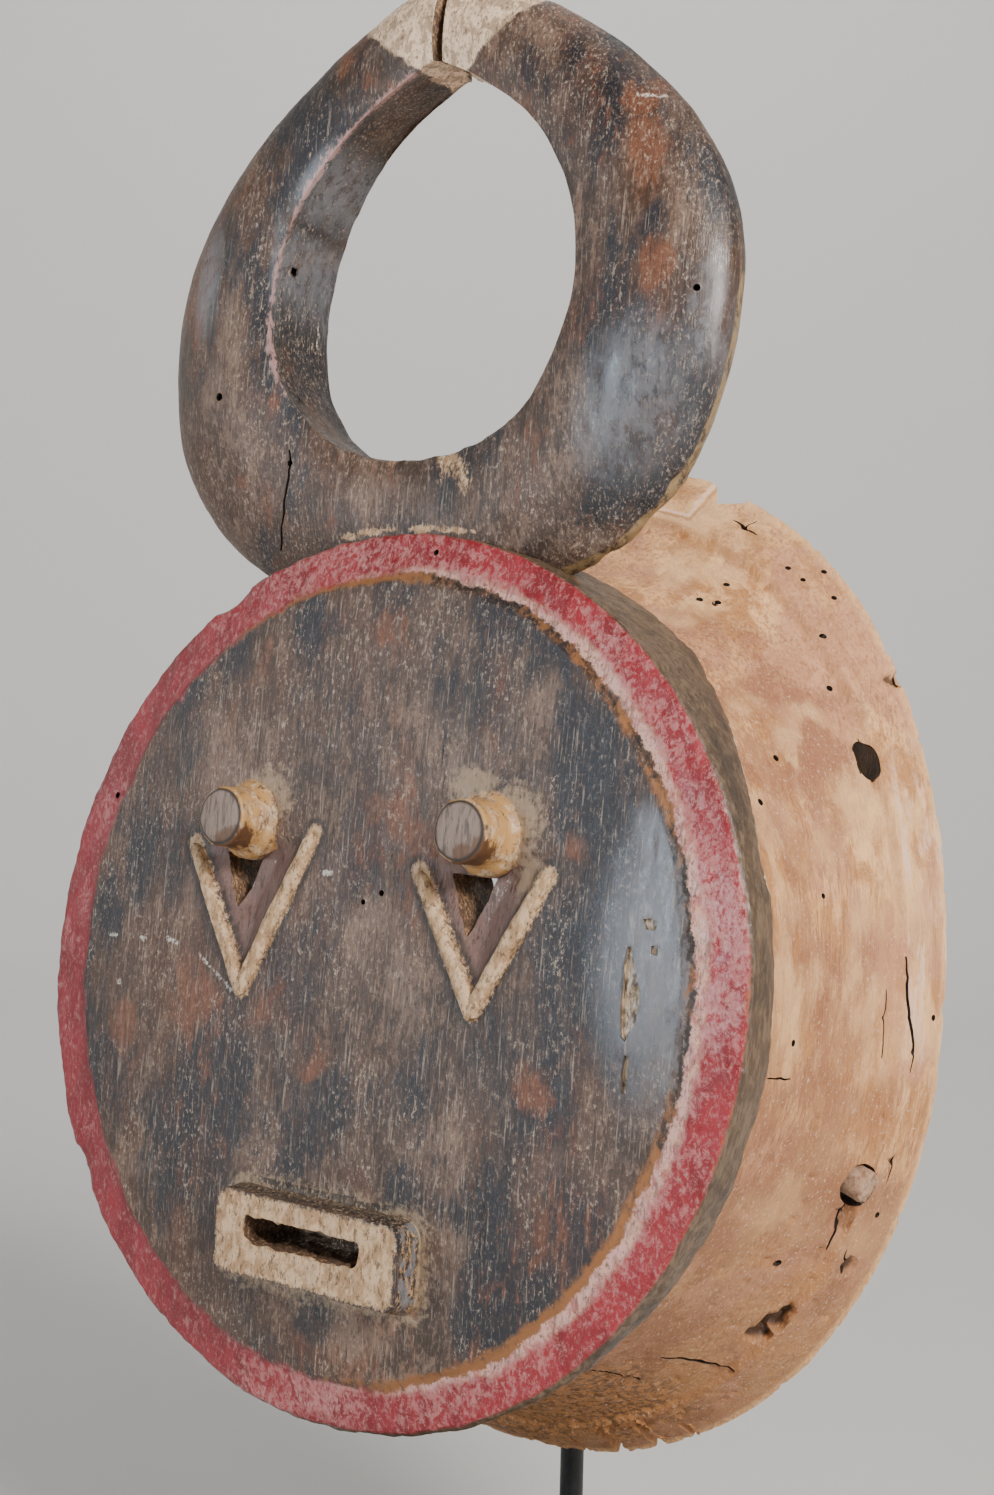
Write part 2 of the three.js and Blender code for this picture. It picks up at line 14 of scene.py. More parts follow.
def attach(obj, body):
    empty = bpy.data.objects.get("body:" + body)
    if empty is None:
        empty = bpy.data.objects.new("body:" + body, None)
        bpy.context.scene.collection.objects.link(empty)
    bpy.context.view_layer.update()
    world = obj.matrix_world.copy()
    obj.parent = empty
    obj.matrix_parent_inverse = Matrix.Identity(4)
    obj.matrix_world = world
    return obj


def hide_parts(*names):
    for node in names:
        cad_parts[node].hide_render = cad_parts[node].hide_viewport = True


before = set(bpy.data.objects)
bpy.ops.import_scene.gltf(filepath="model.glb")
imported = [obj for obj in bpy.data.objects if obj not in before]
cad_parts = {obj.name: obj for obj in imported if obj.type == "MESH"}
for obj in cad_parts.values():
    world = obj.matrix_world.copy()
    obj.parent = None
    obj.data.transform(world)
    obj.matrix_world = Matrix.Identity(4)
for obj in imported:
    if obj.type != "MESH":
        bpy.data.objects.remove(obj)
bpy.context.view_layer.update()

MM = 0.001
TAU = 2 * math.pi
BACKWARD = np.array([0.0, 1.0, 0.0])

# How the mask hangs
LEAN = math.radians(5.85)
DISC_CENTRE_Y = -50
DISC_CENTRE_Z = 238

# Face disc
DISC_RADIUS = 132
DISC_SQUEEZE = 0.992
FIELD_HALF_X = 115
FIELD_HALF_Z = 119
FACE_DOME = 2.5
FIELD_STEP = 1.0
BAND_DROP = 4
EDGE_BACK = 17.5
EDGE_THICKER = (40, 125, 27)
EDGE_THINNER = (60, 110, 8)
EDGE_BULGE = 0.8
EDGE_ROUNDING = 0.8
DISC_BACK = 19
DISC_BACK_RADII = (112, 98)
DISC_FLOOR_RADII = (72, 58, 42, 26, 10)
FIELD_CELLS = 214
BAND_ROWS = 13
SIDE_ROWS = 12

# Shell and hollow
SEAT_RADIUS = 119
NECK_RADIUS = 126
NECK_Y = 20
WAIST = 3
RIM_Y = 118
RIM_HALF_X = 135
RIM_TOP = 179
RIM_BOTTOM = 150
RIM_CENTRE_Z = -4
RIM_SQUARENESS = 2.12
RIM_SHEAR = 0.0215
RIM_ROUNDING = 1.4
FLANGE_WIDTH = 21
FLANGE_STEP = 1.6
RIM_WALL = 11
HOLLOW_FLOOR_HALF = 84
HOLLOW_NECK_HALF = 130
SHELL_SIDES = 720
SHELL_ROWS = 56
HOLLOW_ROWS = 30

# Horn loop: half width, lowest, widest and highest height of an edge, and the handles of its curves
LOOP_OUTER = dict(half=106.5, low=112, wide=204, high=311, foot=90, below=44, above=45, tip=(62, 23))
LOOP_INNER = dict(half=58.5, low=156, wide=207, high=279, foot=36, below=29, above=32, tip=(40, 17))
LOOP_OUTER_SHIFT = -2
HORN_DEPTH = 31
HORN_TIP_DEPTH = 20
HORN_TIP_FROM_Z = 214
HORN_ROOT_SETBACK = 7
HORN_ROOT_Z = (127, 184)
HORN_QUARTER_STEPS = 140
HORN_FRONT_POINTS = 90
HORN_WALL_POINTS = 24
HORN_CREST_FROM_Z = 176
TIP_GROOVE = dict(x=1, width=3.2, bottom=0.3, depth=5, notch=11)
# Borders of the cream tips: a point in X and Z, and the direction up across the border
TIP_LEFT = ((-15.1, 282.7), (0.584, 0.811))
TIP_RIGHT = ((25.8, 284.3), (-0.682, 0.731))
HORN_NOMINAL_WIDTH = 48
# Section of the horns: share of the way from the hole to the outer edge, then how far it stands to the
# front or its share of the depth
HORN_SECTION = ((0, 0, None), (0.2, -1.6, None), (0.5, -1.4, None), (0.76, 2, None), (0.93, 7, None),
                (1, 12, None), (0.94, None, 0.72), (0.55, None, 0.94), (0.03, None, 1))

# Eyes, V ridges, sockets and mouth
EYE_RADIUS = 9.2
EYE_FRONT = -16
EYE_EDGE = 1.3
EYE_ROOT = 12
EYES = (
    dict(x=-45, z=43, apex=(-41.5, -8.5), outer=(-67, 35), inner=(-17.5, 40), hole=(-3, -10, -27)),
    dict(x=46, z=42.5, apex=(46.5, -7.5), outer=(23.5, 31), inner=(68.5, 32), hole=(-5, -11.5, -29)),
)
RIDGE_HEIGHT = 2.6
RIDGE_WIDTH = 5.4
EYE_HOLE_HALF = 7.5
SOCKET_DEPTH = 4.5
MOUTH = dict(left=-35.5, right=33.5, top=-68, bottom=-92, front=-10.5, corner=4, tilt=-0.03)
SLOT = dict(left=-25.5, right=20, top=-74.5, bottom=-82.5, corner=2.4, tilt=-0.03)
SLOT_DEPTH = 8
SLOT_THROUGH_RIGHT = -6

# Holes and breaks in the rim
LUG_HALF_WIDTH = 40.5
LUG_RISE = 1.2
LUG_WIDTH = 16
SHOULDER = dict(z=163.5, width=12, height=30, spread=11, fall=4)
TOOTH_GAPS = ((20.5, 2, 6), (34.6, 4.6, 14), (48.3, 4, 14), (60.5, 2.2, 7))
TOOTH_GAP_DEPTH = 20
TIE_HOLE = dict(y=94, z=76, across=3.6, up=6.0)
PEG_HOLE = dict(y=94, z=-50, across=6.3, up=6.3)
HOLE_REACH = (-40, 15)
PEG_RADIUS = 5.5
PEG_PROUD = 4
PEG_LENGTH = 17

# Stand
ROD_RADIUS = 4
ROD_BEHIND_DISC = 123
ARM_RADIUS = 3
ARM_REACH_Y = 70
ROOF_GAP = 1.6
CROSSBAR_HALF = 24
PROP_Z = -58
PAD_RADIUS = 9
PAD_THICKNESS = 3
FOOT = dict(width=160, length=190, thickness=8, corner=4)
ROD_SOCKET_DEPTH = 5
GAP = 0.3

# Chips out of the face: outline in X and Z, and depth
FACE_CHIPS = (
    (((96.5, 16.5), (98.5, 10), (100.5, 3), (101, -3), (99, -9), (97, -12.6), (95, -11), (94.2, -4),
      (94.3, 4), (94.2, 12), (95, 16.3)), 1.4),
    (((96.8, -13.5), (98.6, -14), (98.8, -19), (98, -25), (96.6, -25.2), (96.2, -19)), 1.1),
    (((98.8, 22.5), (102, 23), (104.5, 21.5), (103.5, 19.2), (100, 19.4)), 0.8),
    (((102.2, 15.8), (104.8, 15.4), (104.8, 12.6), (102.4, 12.9)), 0.8),
)
FACE_WORMHOLES = ((15.1, 125.6), (-108.2, 48.9), (3.5, 20.7), (10, 23.7))
FACE_SPECKS = (
    ((-102.5, 3.5), (-99, 3.6)), ((-88, 3.6), (-85.4, 3.4)), ((-75.5, 4.4), (-71, 3)),
    ((-79.4, 9.9), (-79.2, 9.4)), ((-95.6, -10.6), (-95.5, -11.3)), ((-69.9, -11), (-69.8, -11.6)),
    ((-83.6, -16.9), (-83.5, -17.5)), ((-61, 0.4), (-52, -5.5), (-45.5, -9.5)), ((-13.4, 28.6), (-9.5, 28.4)),
    ((70, -38), (70.2, -38.6)),
)
FACE_SCRATCHES = (((50.7, -56.4), (49.9, -66)), ((55.5, -60), (54.8, -74.8)))
# Wear round the band: amount, and middle and half width in degrees from the right side up
BAND_WEAR = ((0.7, 14, 24), (0.5, 50, 22), (0.5, 92, 30), (-0.4, -24, 22), (0.25, -95, 30))
BAND_SCRATCH = ((119.5, -12.3), (124, -13), (130, -14.2))
# Chips out of the disc's edge: centre, half sizes and depth
EDGE_CHIPS = (((-110, 4, -70.5), (6, 9, 7), 2.0), ((-67, 4, 113.5), (9, 9, 7), 1.8),
              ((-105, 3, -74), (5, 8, 5), 1.5), ((-124, 4, -12), (4, 9, 3), 0.8))

# Patches of paint and wear, and glossy patches that also carry a painted sheen: X, Z, half width, half height
# and turn in degrees
FACE_DARK = (
    (4, -38, 30, 16, 12), (66, -22, 24, 26, 0), (74, -66, 30, 34, 20), (-1, 112, 24, 8, 0),
    (88, 52, 20, 40, 12), (-100, -46, 13, 26, 0), (104, 0, 14, 56, 0), (56, -92, 32, 20, 25),
    (60, 96, 30, 14, -25), (78, 10, 18, 30, 0), (-22, 108, 16, 10, 0), (-14, 92, 12, 22, 0),
    (-104, 22, 9, 26, 0), (30, -66, 26, 12, 0),
)
FACE_RUST = (
    (-30, -16, 15, 10, 0), (-13, -23, 13, 7, 0), (68, -24, 6, 10, 0), (6, 97, 9, 13, 0), (-49, 84, 14, 14, 0),
    (12, -107, 24, 8, 0), (82, -88, 18, 7, 40), (48, -108, 16, 6, 20), (-93, -27, 8, 12, 0),
    (-37, 22, 9, 12, 0), (-64, -12, 13, 15, 0), (20, 30, 12, 30, 0), (80, 40, 6, 8, 0),
)
FACE_PALE = (
    (-20, -44, 26, 10, 0), (36, 66, 26, 30, 0), (-35, -54, 26, 12, 0), (58, 82, 16, 12, -30),
    (-64, 16, 10, 16, 0), (6, 14, 14, 20, 0), (78, -48, 10, 9, 0), (-78, -64, 16, 22, 0), (38, -47, 14, 9, 0),
    (-60, 62, 26, 20, 0), (20, -4, 14, 20, 0), (0, -104, 34, 10, 0), (46, -76, 10, 22, 0),
)
# Glossy patches at the right edge of the face: smoother paint with a painted blue-grey sheen on it
FACE_GLOSS_AND_SHEEN = ((109, 24, 9, 26, 0), (101, 42, 9, 16, 20), (110, -8, 8, 24, 0), (106, 12, 27, 54, 0))
FACE_HALO = ((-39, 50, 15, 13, 25), (54, 46, 15, 16, -10), (40, 56, 12, 8, 0), (62, 30, 8, 12, 0))
HORN_DARK = (
    (80, 168, 18, 26, -25), (-58, 206, 14, 22, 0), (-52, 181, 12, 18, 0), (69, 218, 8, 36, 0),
    (78, 140, 20, 12, 30), (41, 270, 22, 10, -35), (-46, 250, 10, 24, -30), (64, 190, 8, 22, 0),
    (-60, 268, 14, 12, -40), (96, 170, 8, 22, 0), (62, 286, 26, 7, -38), (96, 238, 8, 20, 20),
    (84, 214, 8, 10, 0),
)
HORN_RUST = (
    (80, 233, 8, 17, 0), (75, 252, 6, 9, 0), (-58, 215, 7, 16, 0), (-56, 184, 4, 16, 0), (-67, 151, 7, 6, 0),
    (-92, 222, 12, 26, 0), (86, 206, 7, 9, 0), (-43, 288, 12, 7, -45), (-22, 270, 10, 6, -35),
    (-80, 246, 9, 18, -25), (-56, 145, 6, 9, 0),
)
HORN_PALE = (
    (44, 276, 16, 7, -30), (94, 214, 6, 16, 0), (90, 204, 8, 12, 0), (-54, 232, 7, 10, 0),
    (-72, 207, 12, 26, 0), (-76, 170, 14, 24, 0), (56, 146, 18, 10, 0), (40, 132, 20, 7, 0),
    (-6, 140, 34, 11, 0), (72, 262, 12, 10, -30), (-70, 190, 10, 20, 0),
)
HORN_CREAM = ((18, 152, 12, 5, 0), (-3, 155, 10, 4, 0))
# Glossy patches of the horns: smoother paint with a painted blue-grey sheen on it
HORN_GLOSS_AND_SHEEN = ((80, 168, 22, 34, -25), (100, 190, 6, 26, 0), (-45, 248, 6, 18, -40), (-57, 219, 5, 24, 0),
              (-87, 219, 9, 26, 0))
CHISELLED = ((68, 129, 12, 9, 20), (79, 135, 14, 9, 35), (88, 147, 12, 12, 40))
HORN_SCRATCHES = (((74.4, 255.9), (81, 255.9)), ((-14, 134), (-6, 133)))
HORN_WORMHOLES = (((-57.7, 9.1, 221.7), (0.97, -0.25, 0)), ((-46.9, 3.1, 156.6), (0, -1, 0)),
                  ((97.3, 4.6, 197.4), (0.5, -0.87, 0)), ((-76.5, -1.3, 179.2), (0, -1, 0)))
HORN_HAIRLINE = ((-40.4, 0, 253.2), (-48.2, 8.8, 244.3), (-55.4, 18, 231.5), (-59.2, 23.5, 216.8),
                 (-59.6, 24.9, 202.1), (-51.7, 13.9, 180.1), (-46, 3, 160))

# Cracks: line on the surface, width, depth and seed of the course
HORN_CRACKS = (
    (((-51.9, 13, 184), (-50, 8, 170), (-47, 3.6, 157.6), (-48.2, 4.4, 150), (-49, 5, 141.9),
      (-52.2, 7.5, 130)), 0.7, 3.5, 3),
)

# Kinds of faces that cuts leave behind; cracks and wormholes are painted near black inside, a painted shadow
KINDS = ("shadowed_cut", "fresh_cut", "hole_wall")

# Values that the paint reads at each point, as they are where a piece has nothing of the kind
NOT_ON_FACE = dict(tip=-9, back=-9, crest=-9, wall=0)
NOT_ON_HORNS = dict(band=-63, strip=0, sides=-9, worn=-9, border=-9, rear=-9, hollow=0, halo=0, socket=0,
                    flank=0, eye_end=-9, eye_side=-9, burnt=0, mouth_side=-9, mouth_top=-9, slot=-9, chip=-9)

# Marks on the shell
SHELL_WORMHOLES = (
    (77.4, 105, 138.2), (82.6, 105.8, 134.3), (85.6, 113.9, 138.3), (91.6, 110.5, 129.1), (95.2, 98.6, 115),
    (63.7, 75, 123.5), (68, 78.8, 123.1), (66.1, 86.7, 130), (102, 92, 97.7), (104.1, 57.3, 72.3),
    (109.4, 40.7, 58.1), (120.2, 61.5, 33.4), (122.3, 45.7, -8.3), (134.3, 112, 0.6), (129, 106, -62),
    (112, 78, -78),
)
SHELL_CRACKS = (
    (((130.6, 97, 18), (131.4, 99, 6), (131.8, 103.2, -9.3), (131.6, 103.6, -16)), 1.1, 5, 5),
    (((129, 90, 8), (129.6, 90.6, -2), (129.6, 91.4, -12)), 0.6, 3, 6),
    (((121.4, 33.5, -17.9), (121.4, 40, -18.3), (121.3, 47.3, -18.3)), 0.7, 3, 7),
    (((73.5, 69.3, -106.1), (79, 82, -108.6), (84.1, 96.5, -111.1)), 1.2, 5, 8),
    (((59.6, 53.2, -110.6), (61.5, 64, -113.2), (63.2, 76, -115.6)), 0.6, 3, 9),
    (((54.3, 107.7, 155.4), (59.3, 107.3, 152.4), (63.8, 107.5, 150)), 0.9, 3.5, 10),
    (((59.6, 107.2, 152.4), (60, 112, 154.6)), 0.7, 3, 11),
    (((122, 92, -56), (119.5, 93, -64), (116, 93.5, -72)), 0.9, 4, 12),
    (((117, 100, -70), (113, 104, -77)), 0.8, 4, 13),
    (((126.4, 104, -40), (126, 104.5, -50)), 0.6, 3, 14),
)
# Hollows: centre, half sizes and depth
SHELL_HOLLOWS = (
    ((97.1, 93.4, -94.1), (5, 5, 4), 3.6), ((93.3, 92, -98.7), (4, 6, 3.4), 3.2),
    ((100.5, 95, -90.4), (3, 3, 2.4), 2.4), ((117.9, 94.7, -60.3), (3, 4, 6), 1.4),
    ((115, 104.6, -74.9), (3.4, 3, 4), 2.0), ((128, 108, 76), (3, 4, 5), 1.2),
    ((113, 115, 104), (5, 5, 3), 2.0),
)
END_GRAIN = ((26, -132, 34, 14, 0), (0, -146, 30, 10, 0), (50, -120, 22, 10, 20))
UNDERCUT = ((-12, 101, -146), (1, 101.5, -146), (16.5, 101.5, -145.4), (33.9, 99.5, -141.1),
            (52.2, 99, -135.1))
SHELL_STAINS = (
    (98, 92, 18, 14, 30), (103, 71, 18, 16, 0), (124, 8, 16, 30, 0), (121, -25, 16, 16, 0),
    (114, -48, 18, 18, 0), (104, -68, 16, 16, 0), (78, -98, 24, 14, 30), (46, -124, 30, 10, 0),
    (74, 108, 22, 12, -30), (50, -112, 30, 16, 20), (-110, 40, 30, 40, 0), (-70, -90, 40, 30, 0),
    (112, 40, 10, 24, 0),
)
SHELL_LIGHT = (
    (102, 84, 14, 10, 0), (60, 139, 20, 12, -30), (124, 59, 14, 20, 0), (129, 35, 12, 20, 0),
    (42, 154, 26, 8, 0), (120, -64, 14, 16, 0), (64, 116, 12, 8, 0), (128, 0, 10, 26, 0),
    (-90, 110, 40, 30, 0),
)

# Colours, as linear red, green and blue
BROWN_DEEP = (0.024, 0.018, 0.015)
BROWN = (0.046, 0.025, 0.016)
UMBER = (0.088, 0.038, 0.018)
TAUPE = (0.094, 0.054, 0.038)
TAUPE_LIGHT = (0.27, 0.172, 0.122)
# Black paint, tinted blue for the cool sheen on it: paint colour and in part a painted reflection
BLACK_BLUE = (0.011, 0.014, 0.021)
# Blue-grey on the glossy patches: a painted sheen, partly the worn blue paint itself
SHEEN_BLUE_GREY = (0.165, 0.168, 0.185)
RUST = (0.185, 0.064, 0.028)
SCUFF = (0.46, 0.36, 0.28)
TAN_STRIP = (0.34, 0.22, 0.10)
SOCKET_BROWN = (0.19, 0.108, 0.090)
HALO = (0.40, 0.285, 0.18)
# Blue-grey streak on the right wall of the mouth: painted highlight
SLATE_HIGHLIGHT = (0.12, 0.135, 0.155)
CREAM = (0.64, 0.435, 0.265)
CREAM_DEEP = (0.40, 0.24, 0.125)
DIRT = (0.10, 0.056, 0.030)
OCHRE = (0.50, 0.27, 0.095)
BURNT = (0.11, 0.048, 0.02)
TIP_CREAM = (0.90, 0.65, 0.45)
TIP_BROWN = (0.36, 0.235, 0.145)
EYE_GREY = (0.25, 0.18, 0.142)
SLOT_BROWN = (0.085, 0.046, 0.026)
FIBRE = (0.42, 0.24, 0.12)
GOUGE = (0.50, 0.37, 0.24)
GOUGE_DEEP = (0.11, 0.075, 0.05)
CHALK = (0.74, 0.68, 0.59)
CRIMSON = (0.30, 0.020, 0.030)
CRIMSON_DEEP = (0.20, 0.010, 0.016)
PINK = (0.45, 0.165, 0.160)
PINK_PALE = (0.62, 0.35, 0.32)
BAND_DUST = (0.36, 0.19, 0.17)
STRIP = (0.62, 0.36, 0.265)
RUST_LINE = (0.26, 0.105, 0.036)
EDGE_ORANGE = (0.42, 0.12, 0.045)
OLIVE = (0.085, 0.052, 0.031)
OLIVE_LIGHT = (0.17, 0.112, 0.068)
# Near black painted into cracks, wormholes and sunk hollows: painted shadow
HOLE_SHADOW = (0.014, 0.009, 0.006)
# Dark grey for the walls of the drilled holes: painted shade
HOLE_SHADE_GREY = (0.05, 0.036, 0.028)
INSIDE = (0.26, 0.17, 0.10)
INSIDE_DEEP = (0.12, 0.075, 0.045)
SHELL_TAN = (0.53, 0.24, 0.086)
SHELL_PEACH = (0.95, 0.52, 0.235)
SHELL_FIBRE = (0.38, 0.165, 0.062)
SHELL_STAIN = (0.32, 0.125, 0.062)
SHELL_PINK = (0.60, 0.28, 0.165)
SHELL_LIGHT_TAN = (0.92, 0.55, 0.26)
SHELL_WHITE = (0.92, 0.62, 0.47)
# Shell darkened towards the bottom: painted shade
SHELL_LOWER_SHADE = (0.26, 0.115, 0.048)
SHELL_DARK = (0.07, 0.038, 0.02)
SHELL_PITS = (0.16, 0.088, 0.045)
# Darkening of the shell next to the disc's back: painted shade
CREASE_SHADE = (0.34, 0.20, 0.10)
PEG_LIGHT = (0.48, 0.31, 0.21)
PEG_BROWN = (0.30, 0.17, 0.11)
STEEL = (0.012, 0.012, 0.013)
STEEL_WORN = (0.03, 0.03, 0.032)
BACKDROP = (0.72, 0.71, 0.69)
SKY = (0.9, 0.92, 0.95)

# Stage in metres, with spot, aim, width, watts and colour of each light. The camera turns by degrees and its
# lens and sensor are in millimetres.
FLOOR_RADIUS = 1.8
COVE = 1.1
WALL_TOP = 3.2
SKY_STRENGTH = 0.04
LIGHTS = {
    "key": ((1.7, -0.75, 1.25), (0, -0.02, 0.26), 0.7, 56, (1.0, 0.965, 0.92)),
    "window": ((-0.82, -2.05, 0.62), (0, -0.02, 0.28), 0.6, 15, (0.74, 0.87, 1.0)),
    "fill": ((-1.9, -0.9, 0.9), (0, -0.02, 0.28), 1.2, 3, (0.93, 0.96, 1.0)),
    "top": ((0.2, 0.3, 2.4), (0, 0, 0.25), 1.2, 6, (1.0, 0.98, 0.95)),
    "wall": ((-0.7, 1.1, 2.3), (-1.75, 2.4, 0.6), 0.8, 22, (1.0, 0.99, 0.97)),
}
CAMERA_SPOT = (0.3943, -0.5210, 0.3052)
CAMERA_YAW = 36.12
CAMERA_ROLL = 1.39
LENS = 50
SENSOR = 36


def lerp(a, b, share):
    return a + (b - a) * share


def smooth(low, high, value):
    share = np.clip((np.asarray(value, float) - low) / (high - low), 0, 1)
    return share * share * (3 - 2 * share)


def unit(vector):
    return vector / np.linalg.norm(vector)


def hoop(centre, side, other, radius, radius_other=None, count=64):
    """Points of a circle or an oval round a centre, in the plane of two directions."""
    angles = np.arange(0, TAU, TAU / count)
    return (centre + np.outer(np.cos(angles) * radius, side)
            + np.outer(np.sin(angles) * (radius_other or radius), other))


def upright(flat, y):
    """Points in X and Z set at the depth y, one number or one for each point."""
    return np.stack([flat[:, 0], y + 0 * flat[:, 0], flat[:, 1]], 1)


def round_row(angle, radius_x, radius_z, y):
    return np.stack([np.cos(angle) * radius_x, y + 0 * angle, np.sin(angle) * radius_z], 1)


def hashed(cells, seed):
    """One number from -1 to 1 for each lattice cell, from large primes that mix its bits."""
    mixed = seed * 40503
    for axis, prime in enumerate((73856093, 19349663, 83492791)):
        mixed = mixed ^ (cells[:, axis] * prime)
    mixed = ((mixed ^ (mixed >> 13)) & 0xFFFFFFF) * 1274126177
    return ((mixed >> 15) & 0xFFFF) / 32767.5 - 1


def noise(points, size, seed):
    """Smooth values from -1 to 1 that change over `size` millimetres, one number or one for each axis."""
    spots = points / np.asarray(size, float)
    cell = np.floor(spots).astype(np.int64)
    part = spots - cell
    part = part * part * (3 - 2 * part)
    total = np.zeros(len(points))
    for corner in np.ndindex(2, 2, 2):
        weight = np.prod(np.where(corner, part, 1 - part), axis=1)
        total += weight * hashed(cell + corner, seed)
    return total


def fractal(points, size, seed, octaves=3):
    size = np.asarray(size, float)
    return sum(noise(points, size / 2**i, seed + 17 * i) / 2**i for i in range(octaves))


# Meshes from rows of points

def quads(rows, columns, wrap_rows=False):
    r, c = np.meshgrid(np.arange(rows if wrap_rows else rows - 1), np.arange(columns), indexing="ij")
    r2, c2 = (r + 1) % rows, (c + 1) % columns
    faces = np.stack([r * columns + c, r * columns + c2, r2 * columns + c2, r2 * columns + c], -1)
    return faces.reshape(-1, 4).tolist()


def linked(name, data):
    """New object in the scene."""
    thing = bpy.data.objects.new(name, data)
    bpy.context.scene.collection.objects.link(thing)
    return thing


def solid(name, points, faces):
    """Closed mesh object with its faces pointing out."""
    mesh = bpy.data.meshes.new(name)
    mesh.from_pydata(points.tolist(), [], faces)
    triangles = np.array([(f[0], f[i], f[i + 1]) for f in faces for i in range(1, len(f) - 1)])
    a, b, c = (points[triangles[:, i]] for i in range(3))
    if np.einsum("ij,ij->i", a, np.cross(b, c)).sum() < 0:
        mesh.flip_normals()
    mesh.update()
    return linked(name, mesh)


def loft(name, rings, wrap=False, kind="surface"):
    """Skin through rings of equal point counts, closed to the middle of each end ring."""
    rings = [np.asarray(ring, float) for ring in rings]
    rows, columns = len(rings), len(rings[0])
    points = np.concatenate(rings)
    faces = quads(rows, columns, wrap)
    if not wrap:
        points = np.vstack([points, rings[0].mean(0), rings[-1].mean(0)])
        for first, centre in ((0, rows * columns), ((rows - 1) * columns, rows * columns + 1)):
            for i in range(columns):
                pair = [first + i, first + (i + 1) % columns]
                faces.append([centre] + (pair[::-1] if first == 0 else pair))
    return marked(solid(name, points, faces), kind)


def combine(piece, others, operation):
    """Joins the others to the piece or cuts them from it. Faces keep the kind of the mesh they come from."""
    for other in others:
        modifier = piece.modifiers.new(operation, "BOOLEAN")
        modifier.operation, modifier.object, modifier.solver = operation, other, "MANIFOLD"
        modifier.material_mode = "TRANSFER"
        graph = bpy.context.evaluated_depsgraph_get()
        mesh = bpy.data.meshes.new_from_object(piece.evaluated_get(graph))
        piece.modifiers.clear()
        old, piece.data = piece.data, mesh
        if len(mesh.vertices) == len(old.vertices):
            raise RuntimeError(f"{operation} of {other.name} left {piece.name} as it was")
        bpy.data.meshes.remove(old)
        bpy.data.objects.remove(other)
    return piece


def marked(piece, kind):
    """Marks all faces of a piece with a kind, which they keep when the piece is cut out of another."""
    name = "kind_" + kind
    material = bpy.data.materials.get(name) or bpy.data.materials.new(name)
    piece.data.materials.append(material)
    return piece


def tint_kinds(piece):
    """Turns the kinds of the faces into one value each, 1 on those faces, for the piece's material."""
    index = np.empty(len(piece.data.polygons), int)
    piece.data.polygons.foreach_get("material_index", index)
    names = [material.name if material else "" for material in piece.data.materials]
    for kind in KINDS:
        here = [i for i, name in enumerate(names) if name == "kind_" + kind]
        layer = piece.data.attributes.new(kind, "FLOAT", "FACE")
        layer.data.foreach_set("value", np.isin(index, here).astype(np.float32))
    piece.data.polygons.foreach_set("material_index", [0] * len(index))


def vertices_of(piece):
    """Points and outward normals, in millimetres."""
    mesh = piece.data
    points, normals = np.empty((2, len(mesh.vertices) * 3))
    mesh.vertices.foreach_get("co", points)
    mesh.vertices.foreach_get("normal", normals)
    return points.reshape(-1, 3), normals.reshape(-1, 3)


def roughen(piece, amount, size, seed):
    points, normals = vertices_of(piece)
    points += normals * (amount * fractal(points, size, seed, 2))[:, None]
    piece.data.vertices.foreach_set("co", points.astype(np.float32).ravel())
    piece.data.update()
    return piece


def hung(x, y, z):
    """From the mask's own frame to the part's, both in millimetres."""
    c, s = math.cos(LEAN), math.sin(LEAN)
    return np.array([x, c * y + s * z + DISC_CENTRE_Y, c * z - s * y + DISC_CENTRE_Z])


def place(piece, points, sharp=38, hang=True):
    """Writes the final points in metres, hung on the stand, and rounds the shading."""
    if hang:
        points = hung(*points.T).T
    mesh = piece.data
    mesh.vertices.foreach_set("co", (points * MM).astype(np.float32).ravel())
    mesh.polygons.foreach_set("use_smooth", [True] * len(mesh.polygons))
    mesh.set_sharp_from_angle(angle=math.radians(sharp))
    mesh.update()


def tint(piece, **values):
    """Keeps named values for the piece's material, one number or one for each point."""
    for name, value in values.items():
        layer = piece.data.attributes.new(name, "FLOAT", "POINT")
        layer.data.foreach_set("value", np.full(len(piece.data.vertices), value, np.float32))


# Marks, as distances and soft blobs

def blob(points, centre, size, turn=0):
    """1 at the centre of an ellipsoid, 0 from its edge on. `turn` degrees lean it in X and Z."""
    offset = points - np.asarray(centre, float)
    c, s = math.cos(math.radians(turn)), math.sin(math.radians(turn))
    x = c * offset[:, 0] + s * offset[:, 2]
    z = c * offset[:, 2] - s * offset[:, 0]
    reach = (x / size[0]) ** 2 + (offset[:, 1] / size[1]) ** 2 + (z / size[2]) ** 2
    return np.clip(1 - reach, 0, 1)


def distance_to_line(points, line):
    """Distance to a chain of points, in as many axes as the chain has."""
    line = np.asarray(line, float)
    flat = points if line.shape[1] == 3 else points[:, [0, 2]]
    best = np.full(len(flat), 1e9)
    for a, b in zip(line[:-1], line[1:]):
        along = b - a
        share = np.clip((flat - a) @ along / (along @ along), 0, 1)
        best = np.minimum(best, np.linalg.norm(flat - a - share[:, None] * along, axis=1))
    return best


# Carving, as in the solids

def face_y(reach):
    return -FACE_DOME * (1 - np.clip(reach, 0, 1) ** 4)


def front_y(x, z):
    """Depth of the field or the band at a point of the face."""
    reach = math.hypot(x / FIELD_HALF_X, z / FIELD_HALF_Z)
    across = (reach - 1) * (FIELD_HALF_X + FIELD_HALF_Z) / 2 / (DISC_RADIUS - FIELD_HALF_X)
    return float(face_y(reach)) if reach < 1 else lerp(FIELD_STEP, BAND_DROP, across)


def edge_back(z):
    low, high, more = EDGE_THICKER
    near, far, less = EDGE_THINNER
    return EDGE_BACK + more * smooth(low, high, z) - less * smooth(near, far, -np.asarray(z, float))


